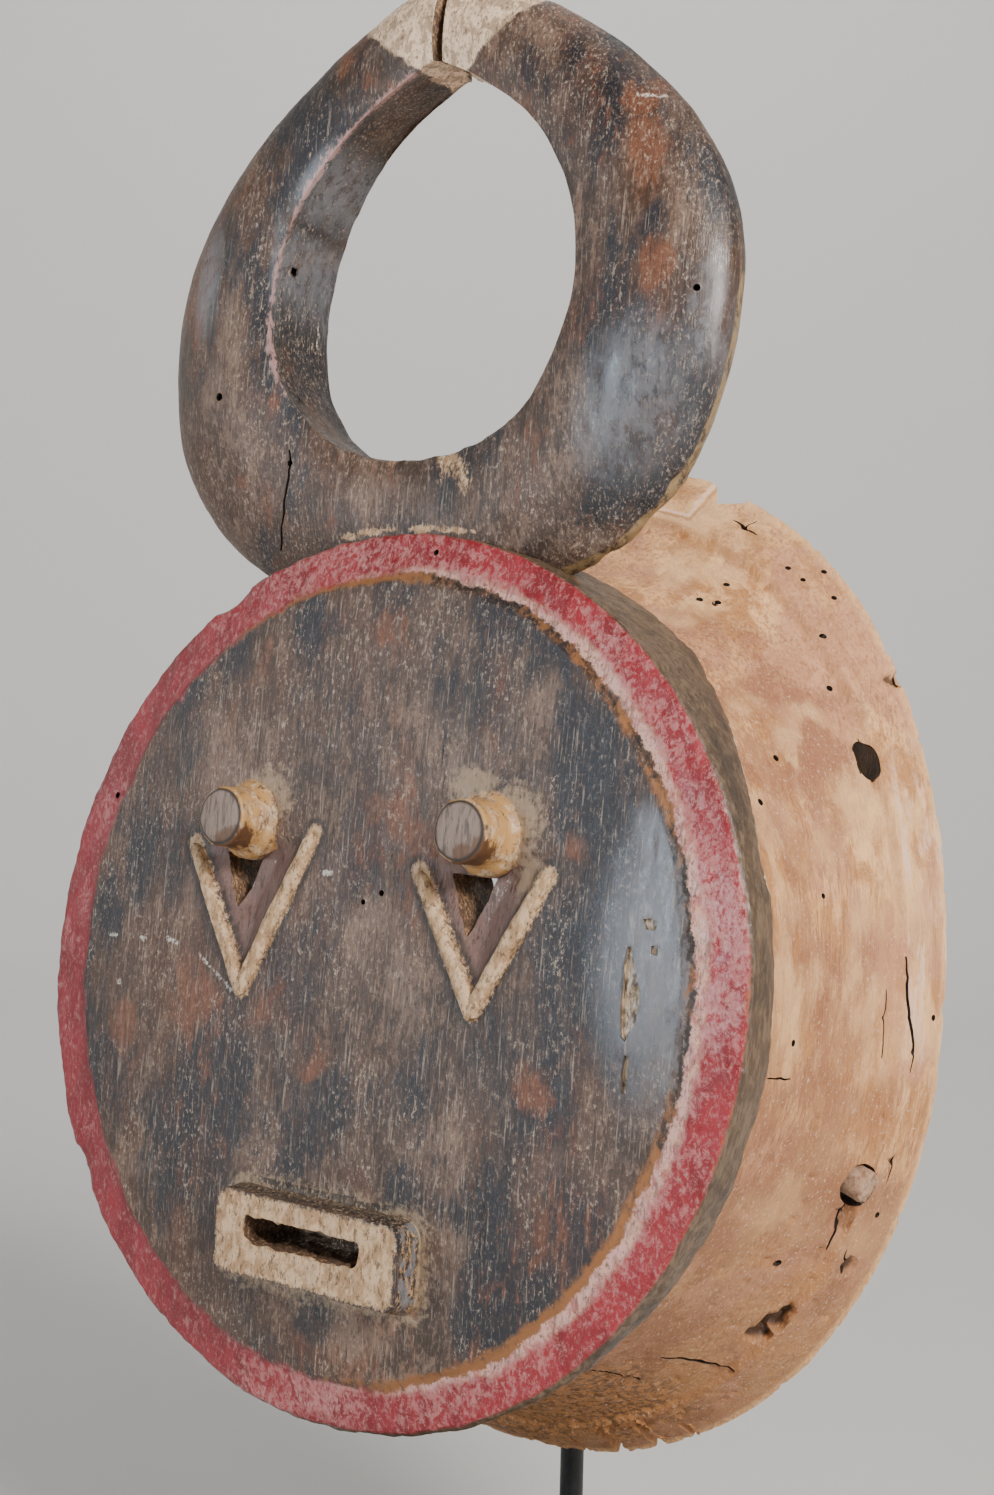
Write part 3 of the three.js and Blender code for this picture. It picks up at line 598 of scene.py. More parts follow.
def shell_section(y):
    share = np.clip((y - NECK_Y) / (RIM_Y - NECK_Y), 0, 1)
    flare = share**1.7
    waist = WAIST * np.sin(math.pi * share**0.8) * (1 - share**3)
    step = FLANGE_STEP * (1 - smooth(RIM_Y - FLANGE_WIDTH - 2, RIM_Y - FLANGE_WIDTH, y))

    def between(neck, rim):
        return lerp(neck, rim, flare) - waist - step

    return dict(
        half_x=between(NECK_RADIUS, RIM_HALF_X), top=between(NECK_RADIUS, RIM_TOP),
        bottom=between(NECK_RADIUS, RIM_BOTTOM), centre_z=RIM_CENTRE_Z * flare,
        power=lerp(2, RIM_SQUARENESS, share), shear=RIM_SHEAR * share,
    )


def hollow_section(y):
    share = np.clip((y - DISC_BACK) / (RIM_Y - DISC_BACK), 0, 1)
    opened = share**0.32
    rim = shell_section(RIM_Y)

    def between(outer):
        return lerp(HOLLOW_FLOOR_HALF, outer - RIM_WALL, opened)

    return dict(
        half_x=between(rim["half_x"]), top=between(lerp(HOLLOW_NECK_HALF, rim["top"], share**1.3)),
        bottom=between(lerp(HOLLOW_NECK_HALF, rim["bottom"], share**1.3)),
        centre_z=rim["centre_z"] * share, power=2.0, shear=RIM_SHEAR * share,
    )


def oval(angle, y, section):
    c, s = np.cos(angle), np.sin(angle)
    bend = 2 / section["power"]
    x = section["half_x"] * np.sign(c) * np.abs(c) ** bend
    z = np.where(s > 0, section["top"], section["bottom"]) * np.sign(s) * np.abs(s) ** bend
    return np.stack([x + section["shear"] * z, y + 0 * x, section["centre_z"] + z], -1)


def even(outline, spacing=0.9, count=None):
    """A closed outline walked at an even pace."""
    closed = np.vstack([outline, outline[:1]])
    lengths = np.r_[0, np.cumsum(np.linalg.norm(np.diff(closed, axis=0), axis=1))]
    steps = np.linspace(0, lengths[-1], (count or int(lengths[-1] / spacing)) + 1)[:-1]
    return np.stack([np.interp(steps, lengths, closed[:, i]) for i in range(2)], 1)


def rounded_outline(shape, grow=0.0, like=None):
    """Even points round a rounded rectangle, as many as the plain outline of `like` has."""
    points = []
    middle = ((shape["left"] + shape["right"]) / 2, (shape["top"] + shape["bottom"]) / 2)
    corners = ((shape["right"], shape["top"]), (shape["left"], shape["top"]),
               (shape["left"], shape["bottom"]), (shape["right"], shape["bottom"]))
    for quarter, (x, z) in enumerate(corners):
        in_x = x - math.copysign(shape["corner"], x - middle[0])
        in_z = z - math.copysign(shape["corner"], z - middle[1])
        for angle in (quarter + np.linspace(0, 1, 7)) * TAU / 4:
            radius = shape["corner"] + grow
            points.append((in_x + radius * math.cos(angle), in_z + radius * math.sin(angle)))
    points = np.array(points)
    points[:, 1] += shape.get("tilt", 0) * points[:, 0]
    return even(points, count=len(rounded_outline(like)) if like else None)


def prism(name, front, y_front, back, y_back, rows, caps=5, kind="surface"):
    """Dense solid between two outlines of equal point counts."""
    def ring(outline, y, shrink=1.0):
        return upright(lerp(outline.mean(0), outline, shrink), y)

    shrinks = np.linspace(0.15, 1, caps, endpoint=False)
    rings = [ring(front, y_front, s) for s in shrinks]
    rings += [ring(lerp(front, back, t), lerp(y_front, y_back, t)) for t in np.linspace(0, 1, rows)]
    rings += [ring(back, y_back, s) for s in shrinks[::-1]]
    return loft(name, rings, kind=kind)


def taper(name, front, y_front, back, y_back, kind="surface"):
    return loft(name, [upright(front, y_front), upright(back, y_back)], kind=kind)


def wormhole(point, outward, radius=0.8, depth=4.5):
    """Small round drill at a point of the surface."""
    point, outward = np.asarray(point, float), np.asarray(outward, float)
    side = unit(np.cross(outward, (0, 0, 1)))
    other = np.cross(outward, side)
    rings = [hoop(point + outward * along, side, other, radius, count=12) for along in (3, -depth)]
    return loft("wormhole", rings, kind="shadowed_cut")


def crack(line, outward, width, depth, seed):
    """Wedge along a line on a surface: open outside, sharp inside, with a wandering course."""
    line, outward = np.asarray(line, float), np.asarray(outward, float)
    lengths = np.r_[0, np.cumsum(np.linalg.norm(np.diff(line, axis=0), axis=1))]
    steps = np.linspace(0, lengths[-1], max(4, int(lengths[-1] / 1.2)))
    course = np.stack([np.interp(steps, lengths, line[:, i]) for i in range(3)], 1)
    along = np.gradient(course, axis=0)
    side = np.cross(along, outward)
    side /= np.linalg.norm(side, axis=1, keepdims=True)
    course = course + side * (0.7 * fractal(course, 4, seed, 2))[:, None]
    halves = width / 2 * (0.3 + 0.7 * np.sin(math.pi * np.linspace(0.03, 0.97, len(course))) ** 0.6)
    rings = []
    for centre, across, half in zip(course, side, halves):
        rings.append([centre + outward * 2 + across * half * 1.4, centre + outward * 2 - across * half * 1.4,
                      centre - outward * depth * (0.4 + 0.6 * half / (width / 2))])
    return loft("crack", rings, kind="shadowed_cut")


# Face piece

def socket_depth(x, z, eye):
    """The sloping socket between the arms of a V, deepest along its middle."""
    apex, outer, inner = (np.array(eye[k], float) for k in ("apex", "outer", "inner"))
    flat = np.stack([x, z], 1)
    sides = []
    for end, other in ((outer, inner), (inner, outer)):
        along = unit(end - apex)
        across = np.array([-along[1], along[0]])
        across *= np.sign((other - apex) @ across)
        sides.append((flat - apex) @ across - RIDGE_WIDTH * 0.3)
    depth = np.minimum(np.minimum(*sides) * 0.42, SOCKET_DEPTH)
    return np.clip(depth, 0, None) * smooth(0, 9, eye["z"] - 3 - z)


def face_base():
    """Disc from its domed field, a square grid bent round, over the band and the side to the flat back."""
    n = FIELD_CELLS
    u, v = np.meshgrid(np.linspace(-1, 1, n + 1), np.linspace(-1, 1, n + 1), indexing="ij")
    disc = np.stack([u * np.sqrt(1 - v**2 / 2), v * np.sqrt(1 - u**2 / 2)], -1).reshape(-1, 2)
    x, z = disc[:, 0] * FIELD_HALF_X, disc[:, 1] * FIELD_HALF_Z
    reach = np.hypot(disc[:, 0], disc[:, 1])
    y = face_y(reach) + FIELD_STEP * smooth(0.982, 1.0, reach)
    for eye in EYES:
        y += socket_depth(x, z, eye)
    points = [np.stack([x, y, z], 1)]
    index = np.arange((n + 1) ** 2).reshape(n + 1, n + 1)
    cells = np.stack([index[:-1, :-1], index[1:, :-1], index[1:, 1:], index[:-1, 1:]], -1)
    faces = cells.reshape(-1, 4).tolist()
    border = np.r_[index[:-1, 0], index[-1, :-1], index[:0:-1, -1], index[0, :0:-1]]
    angle = np.arctan2(disc[border, 1], disc[border, 0])

    outer_x, outer_z = DISC_RADIUS * DISC_SQUEEZE, DISC_RADIUS
    rows = []
    for share in np.linspace(0, 1, BAND_ROWS + 1)[1:]:
        depth = lerp(FIELD_STEP, BAND_DROP, share) + EDGE_ROUNDING * smooth(0.93, 1, share)
        across, up = lerp(FIELD_HALF_X, outer_x, share), lerp(FIELD_HALF_Z, outer_z, share)
        rows.append(round_row(angle, across, up, depth))
    back = edge_back(outer_z * np.sin(angle))
    for share in np.linspace(0, 1, SIDE_ROWS + 1)[1:]:
        grow = EDGE_BULGE * math.sin(math.pi * share) - 2 * EDGE_ROUNDING * smooth(0.9, 1, share)
        depth = lerp(BAND_DROP + EDGE_ROUNDING, back, share)
        rows.append(round_row(angle, outer_x + grow, outer_z + grow, depth))
    backs = [(SEAT_RADIUS, back)] + [(radius, np.minimum(back, DISC_BACK)) for radius in DISC_BACK_RADII]
    backs += [(radius, DISC_BACK) for radius in (HOLLOW_FLOOR_HALF + 2, *DISC_FLOOR_RADII)]
    rows += [round_row(angle, radius, radius, depth) for radius, depth in backs]
    count = len(border)
    previous = border
    for i, row in enumerate(rows):
        points.append(row)
        here = len(x) + i * count + np.arange(count)
        faces += np.stack([np.roll(previous, -1), previous, here, np.roll(here, -1)], 1).tolist()
        previous = here
    centre = len(x) + len(rows) * count
    points.append(np.array([[0, DISC_BACK, 0]], float))
    faces += np.stack([np.roll(previous, -1), previous, np.full(count, centre)], 1).tolist()
    return marked(solid("mask_face", np.vstack(points), faces), "surface")


# Profile of a ridge, in shares of its half width and its height
ARM_PROFILE = ((-1.28, 3.4), (-1.1, 0.3), (-0.86, -0.55), (-0.55, -0.9), (0, -1.0), (0.55, -0.9),
               (0.86, -0.55), (1.1, 0.3), (1.28, 3.4), (0, 3.4))


def ridge_arm(start, end):
    """One arm of a V: a rounded ridge with sloping flanks and a tapering outer end."""
    start, end = np.array(start, float), np.array(end, float)
    length, along = np.linalg.norm(end - start), unit(end - start)
    across = np.array([-along[1], along[0]])
    profile = even(np.array(ARM_PROFILE) * (RIDGE_WIDTH / 2, RIDGE_HEIGHT), 0.6)
    rings = []
    for distance in np.arange(-2.2, length + 0.01, 0.6):
        narrow = lerp(1.0, 0.74, smooth(length * 0.5, length, distance))
        narrow *= 0.35 + 0.65 * (1 - smooth(length - 3.5, length + 0.5, distance))
        narrow *= 0.5 + 0.5 * smooth(-2.4, 0.5, distance)
        flat = start + along * distance + across * (profile[:, :1] * narrow)
        height = np.where(profile[:, 1] < 0, profile[:, 1] * (0.35 + 0.65 * narrow), profile[:, 1])
        rings.append(upright(flat, height - FACE_DOME))
    return loft("arm", rings)


def eye_peg(eye):
    """Round peg with a softly domed end and a spread foot."""
    flat = EYE_RADIUS - EYE_EDGE
    profile = [(r, EYE_FRONT + 0.7 * (r / EYE_RADIUS) ** 2) for r in np.linspace(0.8, flat, 9)]
    profile += [(flat + EYE_EDGE * math.sin(a), EYE_FRONT + 0.6 + EYE_EDGE * (1 - math.cos(a)))
                for a in np.linspace(0.3, TAU / 4, 5)]
    for y in np.arange(EYE_FRONT + 2.8, EYE_ROOT, 0.9):
        profile.append((EYE_RADIUS + 0.6 * smooth(-12, -4, y) + 2.2 * smooth(-5.5, -1.6, y), y))
    return loft("eye", [hoop((eye["x"], y, eye["z"]), (1, 0, 0), (0, 0, 1), r, count=76) for r, y in profile])


def sight_hole(eye):
    shift, top, bottom = eye["hole"]
    x, z = eye["x"] + shift, eye["z"]
    corners = np.array([(x - EYE_HOLE_HALF, z + top), (x, z + bottom), (x + EYE_HOLE_HALF, z + top)])
    outline = even(corners, 0.8)
    return roughen(prism("sight", outline, -6, outline, DISC_BACK + 3, 26, kind="hole_wall"), 0.5, 5, 31)


def face_piece():
    """Disc with the V ridges, eye pegs, sight holes, mouth and chips."""
    face = face_base()
    arms = [ridge_arm(eye["apex"], eye[side]) for eye in EYES for side in ("outer", "inner")]
    combine(face, arms, "UNION")
    combine(face, [sight_hole(eye) for eye in EYES], "DIFFERENCE")
    front, back = rounded_outline(MOUTH), rounded_outline(MOUTH, 2.5, like=MOUTH)
    block = roughen(prism("mouth", front, MOUTH["front"], back, 4, 18, 12), 0.35, 7, 33)
    combine(face, [eye_peg(eye) for eye in EYES] + [block], "UNION")
    front, back = rounded_outline(SLOT), rounded_outline(SLOT, -0.6, like=SLOT)
    cuts = [roughen(prism("slot", front, MOUTH["front"] - 2, back, SLOT_DEPTH, 20, 10), 0.45, 4, 35)]
    through = rounded_outline(dict(SLOT, right=SLOT_THROUGH_RIGHT, top=SLOT["top"] - 1,
                                   bottom=SLOT["bottom"] + 1, corner=1))
    cuts.append(prism("through", through, 2, through, DISC_BACK + 3, 18, kind="hole_wall"))
    for outline, depth in FACE_CHIPS:
        outline = even(np.array(outline, float), 0.8)
        middle = outline.mean(0)
        floor = face_y(np.hypot(*(middle / (FIELD_HALF_X, FIELD_HALF_Z)))) + depth
        inner = middle + (outline - middle) * 0.86
        cuts.append(roughen(prism("chip", outline, -6, inner, floor, 9, 6), 0.35, 3, 37))
    cuts += [wormhole((x, front_y(x, z), z), (0, -1, 0)) for x, z in FACE_WORMHOLES]
    return combine(face, cuts, "DIFFERENCE")


# Horn piece

def spline_weights(controls, count):
    """Rows of weights that run a smooth curve through all control points."""
    controls = np.asarray(controls, float)
    spans = np.linalg.norm(np.diff(controls, axis=0), axis=1)
    knots = np.r_[0, np.cumsum(spans)]
    slopes = np.zeros((len(controls), len(controls)))
    for i in range(len(controls)):
        a, b = max(i - 1, 0), min(i + 1, len(controls) - 1)
        slopes[i, b] += 1 / (knots[b] - knots[a])
        slopes[i, a] -= 1 / (knots[b] - knots[a])
    weights = np.zeros((count, len(controls)))
    for row, at in enumerate(np.linspace(0, knots[-1], count)):
        i = min(np.searchsorted(knots, at, side="right") - 1, len(spans) - 1)
        t = (at - knots[i]) / spans[i]
        weights[row, i] += 2 * t**3 - 3 * t**2 + 1
        weights[row, i + 1] += 3 * t**2 - 2 * t**3
        weights[row] += spans[i] * ((t**3 - 2 * t**2 + t) * slopes[i] + (t**3 - t**2) * slopes[i + 1])
    return weights


def edge_curve(edge, per_quarter):
    """Right half of one edge of the loop, from its foot to its tip."""
    tip_x, tip_drop = edge["tip"]
    half, low, wide, high = (edge[name] for name in ("half", "low", "wide", "high"))
    quarters = (
        ((0, low), (edge["foot"], low), (half, wide - edge["below"]), (half, wide)),
        ((half, wide), (half, wide + edge["above"]), (tip_x, high - tip_drop), (0, high)),
    )
    points = []
    for quarter, (a, b, c, d) in enumerate(np.array(quarters, float)):
        t = np.linspace(0, 1, per_quarter + 1)[(1 if quarter else 0):, None]
        points.append((1 - t) ** 3 * a + 3 * (1 - t) ** 2 * t * b + 3 * (1 - t) * t**2 * c + t**3 * d)
    return np.vstack(points)


def horn_piece():
    """Loop of the two horns: one section carried round, with the groove, holes and crack cut out."""
    inner, outer = (edge_curve(edge, HORN_QUARTER_STEPS) for edge in (LOOP_INNER, LOOP_OUTER))
    nominal = [(across * HORN_NOMINAL_WIDTH, front if front is not None else share * HORN_DEPTH)
               for across, front, share in HORN_SECTION]
    wall = np.linspace(1, 0, HORN_WALL_POINTS + 1)[1:-1]
    last = np.zeros((len(wall), len(nominal)))
    last[:, -1], last[:, 0] = wall, 1 - wall
    weights = np.vstack([spline_weights(nominal, HORN_FRONT_POINTS), last])

    def ring(near, far, mirror):
        height = (near[1] + far[1]) / 2
        depth = lerp(HORN_DEPTH, HORN_TIP_DEPTH, smooth(HORN_TIP_FROM_Z, LOOP_OUTER["high"], height))
        setback = HORN_ROOT_SETBACK * (1 - smooth(*HORN_ROOT_Z, height))
        controls = []
        for across, front, share in HORN_SECTION:
            x = mirror * lerp(near[0], far[0], across) + LOOP_OUTER_SHIFT * across
            y = setback + front * depth / HORN_DEPTH if front is not None else share * depth
            controls.append((x, y, lerp(near[1], far[1], across)))
        return weights @ np.array(controls)

    right = [ring(near, far, 1) for near, far in zip(inner, outer)]
    left = [ring(near, far, -1) for near, far in zip(inner[1:-1][::-1], outer[1:-1][::-1])]
    horns = loft("mask_horns", right + left, wrap=True)

    # Groove between the tips, cut from the front and the back, with a notch at the top
    middle, wide, deep = (TIP_GROOVE[name] for name in ("x", "width", "depth"))
    low, high = LOOP_INNER["high"] - 10, LOOP_OUTER["high"] + 1

    def strip(half):
        corners = ((-half, low), (half, low), (half, high), (-half, high))
        return np.array([(middle + x, z) for x, z in corners])

    notch = np.array([(middle - wide, high), (middle + wide, high), (middle, high - TIP_GROOVE["notch"])])
    before, behind = -5, HORN_TIP_DEPTH + 5
    bottom = strip(TIP_GROOVE["bottom"])
    cuts = [taper("groove", strip(wide), before, bottom, deep, "hole_wall"),
            taper("groove", strip(wide), behind, bottom, HORN_TIP_DEPTH - deep, "hole_wall"),
            taper("groove", notch, before, notch, behind, "hole_wall")]
    cuts += [wormhole(point, outward, 1.0) for point, outward in HORN_WORMHOLES]
    cuts += [crack(line, (0, -1, 0), width, depth, seed) for line, width, depth, seed in HORN_CRACKS]
    return combine(horns, cuts, "DIFFERENCE")


# Shell piece

def shell_piece():
    """Shell from the disc's back over its outside, the rim and the hollow, with everything cut out of it."""
    angle = np.arange(SHELL_SIDES) * TAU / SHELL_SIDES
    start = edge_back(DISC_RADIUS * np.sin(angle)) - 5
    flange = RIM_Y - FLANGE_WIDTH

    rows = [round_row(angle, radius, radius, y)
            for radius, y in ((HOLLOW_FLOOR_HALF, DISC_BACK - 3), (110, np.minimum(start, 14)),
                              (SEAT_RADIUS, start))]
    for share in np.linspace(0, 1, SHELL_ROWS):
        y = lerp(start, flange - 2, share)
        rows.append(oval(angle, y, shell_section(y)))
    for y in (flange - 1.4, flange - 0.7, flange, *np.linspace(flange, RIM_Y - RIM_ROUNDING, 16)[1:]):
        rows.append(oval(angle, y, shell_section(y)))
    rim = oval(angle, RIM_Y, shell_section(RIM_Y))
    inner = oval(angle, RIM_Y, hollow_section(RIM_Y))
    inward = (inner - rim) / np.linalg.norm(inner - rim, axis=1, keepdims=True)
    for turn in np.linspace(0, TAU / 4, 5)[1:]:
        row = rim + inward * RIM_ROUNDING * (1 - math.cos(turn))
        row[:, 1] = RIM_Y - RIM_ROUNDING * (1 - math.sin(turn))
        rows.append(row)
    rows += [lerp(rim, inner, share) for share in np.linspace(0.22, 0.9, 7)]
    for share in np.linspace(0, 1, HOLLOW_ROWS):
        y = RIM_Y - (RIM_Y - DISC_BACK) * (1 - (1 - share) ** 1.8) - (0.8 if share == 0 else 0)
        rows.append(oval(angle, y, hollow_section(y)))
    rows = np.array(rows)
    x, y, z = rows[..., 0], rows[..., 1], rows[..., 2]
    lug_from = RIM_Y - LUG_WIDTH
    lifted = smooth(LUG_HALF_WIDTH + 0.8, LUG_HALF_WIDTH - 0.4, np.abs(x))
    rows[..., 2] += LUG_RISE * lifted * smooth(lug_from - 0.6, lug_from + 0.4, y) * (z > 160)
    shell = loft("mask_shell", list(rows), wrap=True)

    def shoulder(x, z, side):
        right, top = x + SHOULDER["width"], z + SHOULDER["height"]
        return np.array([(side * x, z), (side * right, z), (side * right, top), (side * x, top)])

    cuts = []
    for side in (1, -1):
        front = shoulder(LUG_HALF_WIDTH + SHOULDER["spread"], SHOULDER["z"] - SHOULDER["fall"], side)
        back = shoulder(LUG_HALF_WIDTH, SHOULDER["z"], side)
        cuts.append(taper("shoulder", front, lug_from, back, RIM_Y + 1))
        cuts.append(roughen(drill(TIE_HOLE, side), 0.35, 4, 51))
        cuts.append(roughen(drill(PEG_HOLE, side), 0.4, 4, 53))
    rim_section = shell_section(RIM_Y)
    for x0, gap_width, gap_height in TOOTH_GAPS:
        level = abs(x0 / rim_section["half_x"]) ** rim_section["power"]
        low = rim_section["centre_z"] - rim_section["bottom"] * (1 - level) ** (1 / rim_section["power"])
        half, top = gap_width / 2, low + gap_height
        corners = ((-half, low - 3), (half, low - 3), (half * 0.7, top), (-half * 0.7, top))
        outline = even(np.array([(x0 + x, z) for x, z in corners]), 0.8)
        gap = prism("gap", outline, RIM_Y - TOOTH_GAP_DEPTH, outline, RIM_Y + 1, 22, kind="fresh_cut")
        cuts.append(roughen(gap, min(0.6, gap_width * 0.2), 3, int(x0)))
    cuts += [wormhole(on_shell(point), shell_normal(point), 0.9) for point in SHELL_WORMHOLES]
    for line, width, depth, seed in SHELL_CRACKS:
        line = [on_shell(point) for point in line]
        cuts.append(crack(line, shell_normal(np.mean(line, axis=0)), width, depth, seed))
    return combine(shell, cuts, "DIFFERENCE")


def half_height(section, z):
    return section["top"] if z > section["centre_z"] else section["bottom"]


def shell_normal(point):
    """Outward direction of the shell's outside near a point."""
    x, y, z = point
    section = shell_section(y)
    rise = z - section["centre_z"]
    return unit(np.array([x / section["half_x"] ** 2, 0, rise / half_height(section, z) ** 2]))


def on_shell(point):
    """The point moved straight out or in to the shell's outside."""
    x, y, z = point
    section = shell_section(y)
    power, rise = section["power"], z - section["centre_z"]
    flat = x - section["shear"] * rise
    across, up = abs(flat / section["half_x"]), abs(rise / half_height(section, z))
    reach = (across**power + up**power) ** (1 / power)
    flat, rise = flat / reach, rise / reach
    return np.array([flat + section["shear"] * rise, y, section["centre_z"] + rise])


def hole_axis(hole, side):
    """Where a rim hole starts on the shell's outside, its way out and its way up."""
    y, z = hole["y"], hole["z"]
    section = shell_section(y)
    power, rise = section["power"], z - section["centre_z"]
    x = side * section["half_x"] * (1 - (abs(rise) / half_height(section, z)) ** power) ** (1 / power)
    normal = shell_normal((x, y, z))
    return np.array([x + section["shear"] * rise, y, z]), normal, np.array([-normal[2], 0, normal[0]]) * side


def drill(hole, side):
    """Oval drill through the shell's wall, square to it."""
    point, normal, up = hole_axis(hole, side)
    rings = [hoop(point + normal * along, up, BACKWARD, hole["up"], hole["across"], count=44)
             for along in np.arange(*HOLE_REACH, 1.6)]
    return loft("drill", rings, kind="hole_wall")


# Peg and stand

def peg_piece():
    """Broken stub: its end is uneven and split."""
    point, normal, up = hole_axis(PEG_HOLE, 1)
    point = point + up * 0.7 + BACKWARD * 0.8
    stations = [(a, 1.0) for a in np.arange(PEG_PROUD - PEG_LENGTH, PEG_PROUD - 0.5, 0.5)]
    stations += [(PEG_PROUD - 0.3, 0.95), (PEG_PROUD, 0.84)]
    stations += [(PEG_PROUD, share) for share in np.linspace(0.74, 0.06, 10)]
    peg = loft("rim_peg_stub", [hoop(point + normal * along, up, BACKWARD, PEG_RADIUS * 0.9 * share, count=72)
                                for along, share in stations])
    points, normals = vertices_of(peg)
    ahead = (points - point) @ normal
    end = smooth(PEG_PROUD - 2.5, PEG_PROUD, ahead)
    rough = noise(points, 3.2, 61) * 0.7 + noise(points, 1.2, 63) * 0.35 - 0.6
    split = 1 - smooth(0, 0.7, np.abs((points - point) @ BACKWARD + 0.8 * noise(points, 4, 65) - 0.6))
    points += normals * (0.18 * fractal(points, (2, 2, 6), 67))[:, None]
    points += np.outer(end * (rough - 1.6 * split), normal)
    tint(peg, split=split * end)
    place(peg, points)
    return peg


def bar(start, end, radius, edge=0.4):
    """Round steel bar with eased ends, as rings in the part's own millimetres."""
    start, end = np.array(start, float), np.array(end, float)
    length, along = np.linalg.norm(end - start), unit(end - start)
    side = unit(np.cross(along, (0, 0, 1) if abs(along[2]) < 0.9 else (1, 0, 0)))
    other = np.cross(along, side)
    stations = [(0, radius - edge), (edge * 0.3, radius - edge * 0.3), (edge, radius)]
    stations += [(length - a, r) for a, r in stations[::-1]]
    return [hoop(start + along * a, side, other, r) for a, r in stations]


def stand_pieces():
    """Rod with its two arms, crossbar and pad, and the foot plate with the rod's socket."""
    rod_y = DISC_CENTRE_Y + ROD_BEHIND_DISC
    roof = hollow_section(ARM_REACH_Y)
    drop = roof["top"] * (1 - math.sqrt(1 - (CROSSBAR_HALF / roof["half_x"]) ** 2))
    contact = hung(0, ARM_REACH_Y, roof["centre_z"] + roof["top"] - drop)
    arm_z = contact[2] - ARM_RADIUS - ROOF_GAP
    wall = hung(0, DISC_BACK, PROP_Z)
    pad = wall[1] + 2 * GAP + PAD_RADIUS * math.sin(LEAN)
    foot_z = FOOT["thickness"] - ROD_SOCKET_DEPTH + GAP
    bars = [bar((0, rod_y, foot_z), (0, rod_y, arm_z + ARM_RADIUS), ROD_RADIUS),
            bar((0, rod_y, arm_z), (0, contact[1], arm_z), ARM_RADIUS),
            bar((-CROSSBAR_HALF, contact[1], arm_z), (CROSSBAR_HALF, contact[1], arm_z), ARM_RADIUS),
            bar((0, pad, wall[2]), (0, rod_y, wall[2]), ARM_RADIUS),
            bar((0, pad, wall[2]), (0, pad + PAD_THICKNESS, wall[2]), PAD_RADIUS)]
    rod = loft("stand_steel_rod", bars[0])
    combine(rod, [loft("bar", rings) for rings in bars[1:]], "UNION")
    place(rod, vertices_of(rod)[0], sharp=35, hang=False)

    across, along, thickness = FOOT["width"] / 2, FOOT["length"] / 2, FOOT["thickness"]
    outline = dict(left=-across, right=across, top=along, bottom=-along, corner=FOOT["corner"])
    eased = [(3.9, 0, 0.4), (1.6, 0, 1), (0.8, 0, 1), (0.25, 0.25, 1), (0, 0.8, 1)]
    eased += [(inset, thickness - z, scale) for inset, z, scale in eased[::-1]]
    rings = []
    for inset, z, scale in eased:
        flat = rounded_outline(outline, -inset, like=outline) * scale
        rings.append(np.stack([flat[:, 0], flat[:, 1], np.full(len(flat), float(z))], 1))
    foot = loft("stand_steel_foot", rings)
    low, high = (0, rod_y, thickness - ROD_SOCKET_DEPTH), (0, rod_y, thickness + 1)
    combine(foot, [loft("socket", bar(low, high, ROD_RADIUS + GAP, edge=0.01))], "DIFFERENCE")
    place(foot, vertices_of(foot)[0], sharp=35, hang=False)
    return rod, foot


# Finishing of the carved surface

def outline_distance(points, outline):
    """Signed distance in X and Z to a closed outline, negative inside it."""
    outline = np.asarray(outline, float)
    closed = np.vstack([outline, outline[:1]])
    distance = distance_to_line(points, closed)
    x, z = points[:, 0], points[:, 2]
    inside = np.zeros(len(points), bool)
    for (x0, z0), (x1, z1) in zip(closed[:-1], closed[1:]):
        if z0 != z1:
            crosses = (z0 > z) != (z1 > z)
            inside ^= crosses & (x < (x1 - x0) * (z - z0) / (z1 - z0) + x0)
    return np.where(inside, -distance, distance)


def blobs(points, patches):
    """Soft round patches in X and Z: centre, half sizes and turn of each. The highest counts."""
    flat = points * (1, 0, 1)
    return np.max([blob(flat, (x, 0, z), (half_x, 1, half_z), turn)
                   for x, z, half_x, half_z, turn in patches], axis=0)


def bump(value, centre, half):
    """1 at the centre, 0 from half a width away on."""
    return np.clip(1 - ((value - centre) / half) ** 2, 0, 1)


def warped(points, reach, seed):
    """Points shifted about in X and Z, so that what is painted by them gets an uneven border."""
    across, up = (fractal(points, (13, 13, 26), seed + i, 4) for i in (0, 50))
    return points + reach * np.stack([across, 0 * up, 1.7 * up], 1)


def tool_marks(points, size, seed):
    """Shallow scoops side by side, as a blade leaves them: 0 in their middles, about 1 between them."""
    spots = points / np.asarray(size, float)
    cell = np.floor(spots).astype(np.int64)
    nearest = np.full(len(points), 9.0)
    for step in np.ndindex(3, 3, 3):
        near = cell + np.array(step) - 1
        centre = near + 0.5 + 0.42 * np.stack([hashed(near, seed + i) for i in range(3)], 1)
        nearest = np.minimum(nearest, ((spots - centre) ** 2).sum(1))
    return np.clip(nearest, 0, 1)


def patchy(points, patches, seed, strength, level, ragged):
    """Painted patches: positive inside them, with borders that wander and islands beside them."""
    spread = fractal(points, (15, 15, 32), seed, 5)
    return blobs(warped(points, 5, seed + 3), patches) * strength + level + ragged * spread


def specks(points):
    """Chalky drops and drips: positive inside them."""
    nearest = np.min([distance_to_line(points, line) for line in FACE_SPECKS], axis=0)
    return (0.8 + 0.4 * noise(points, 2.5, 19) - nearest) * (points[:, 1] < 2)


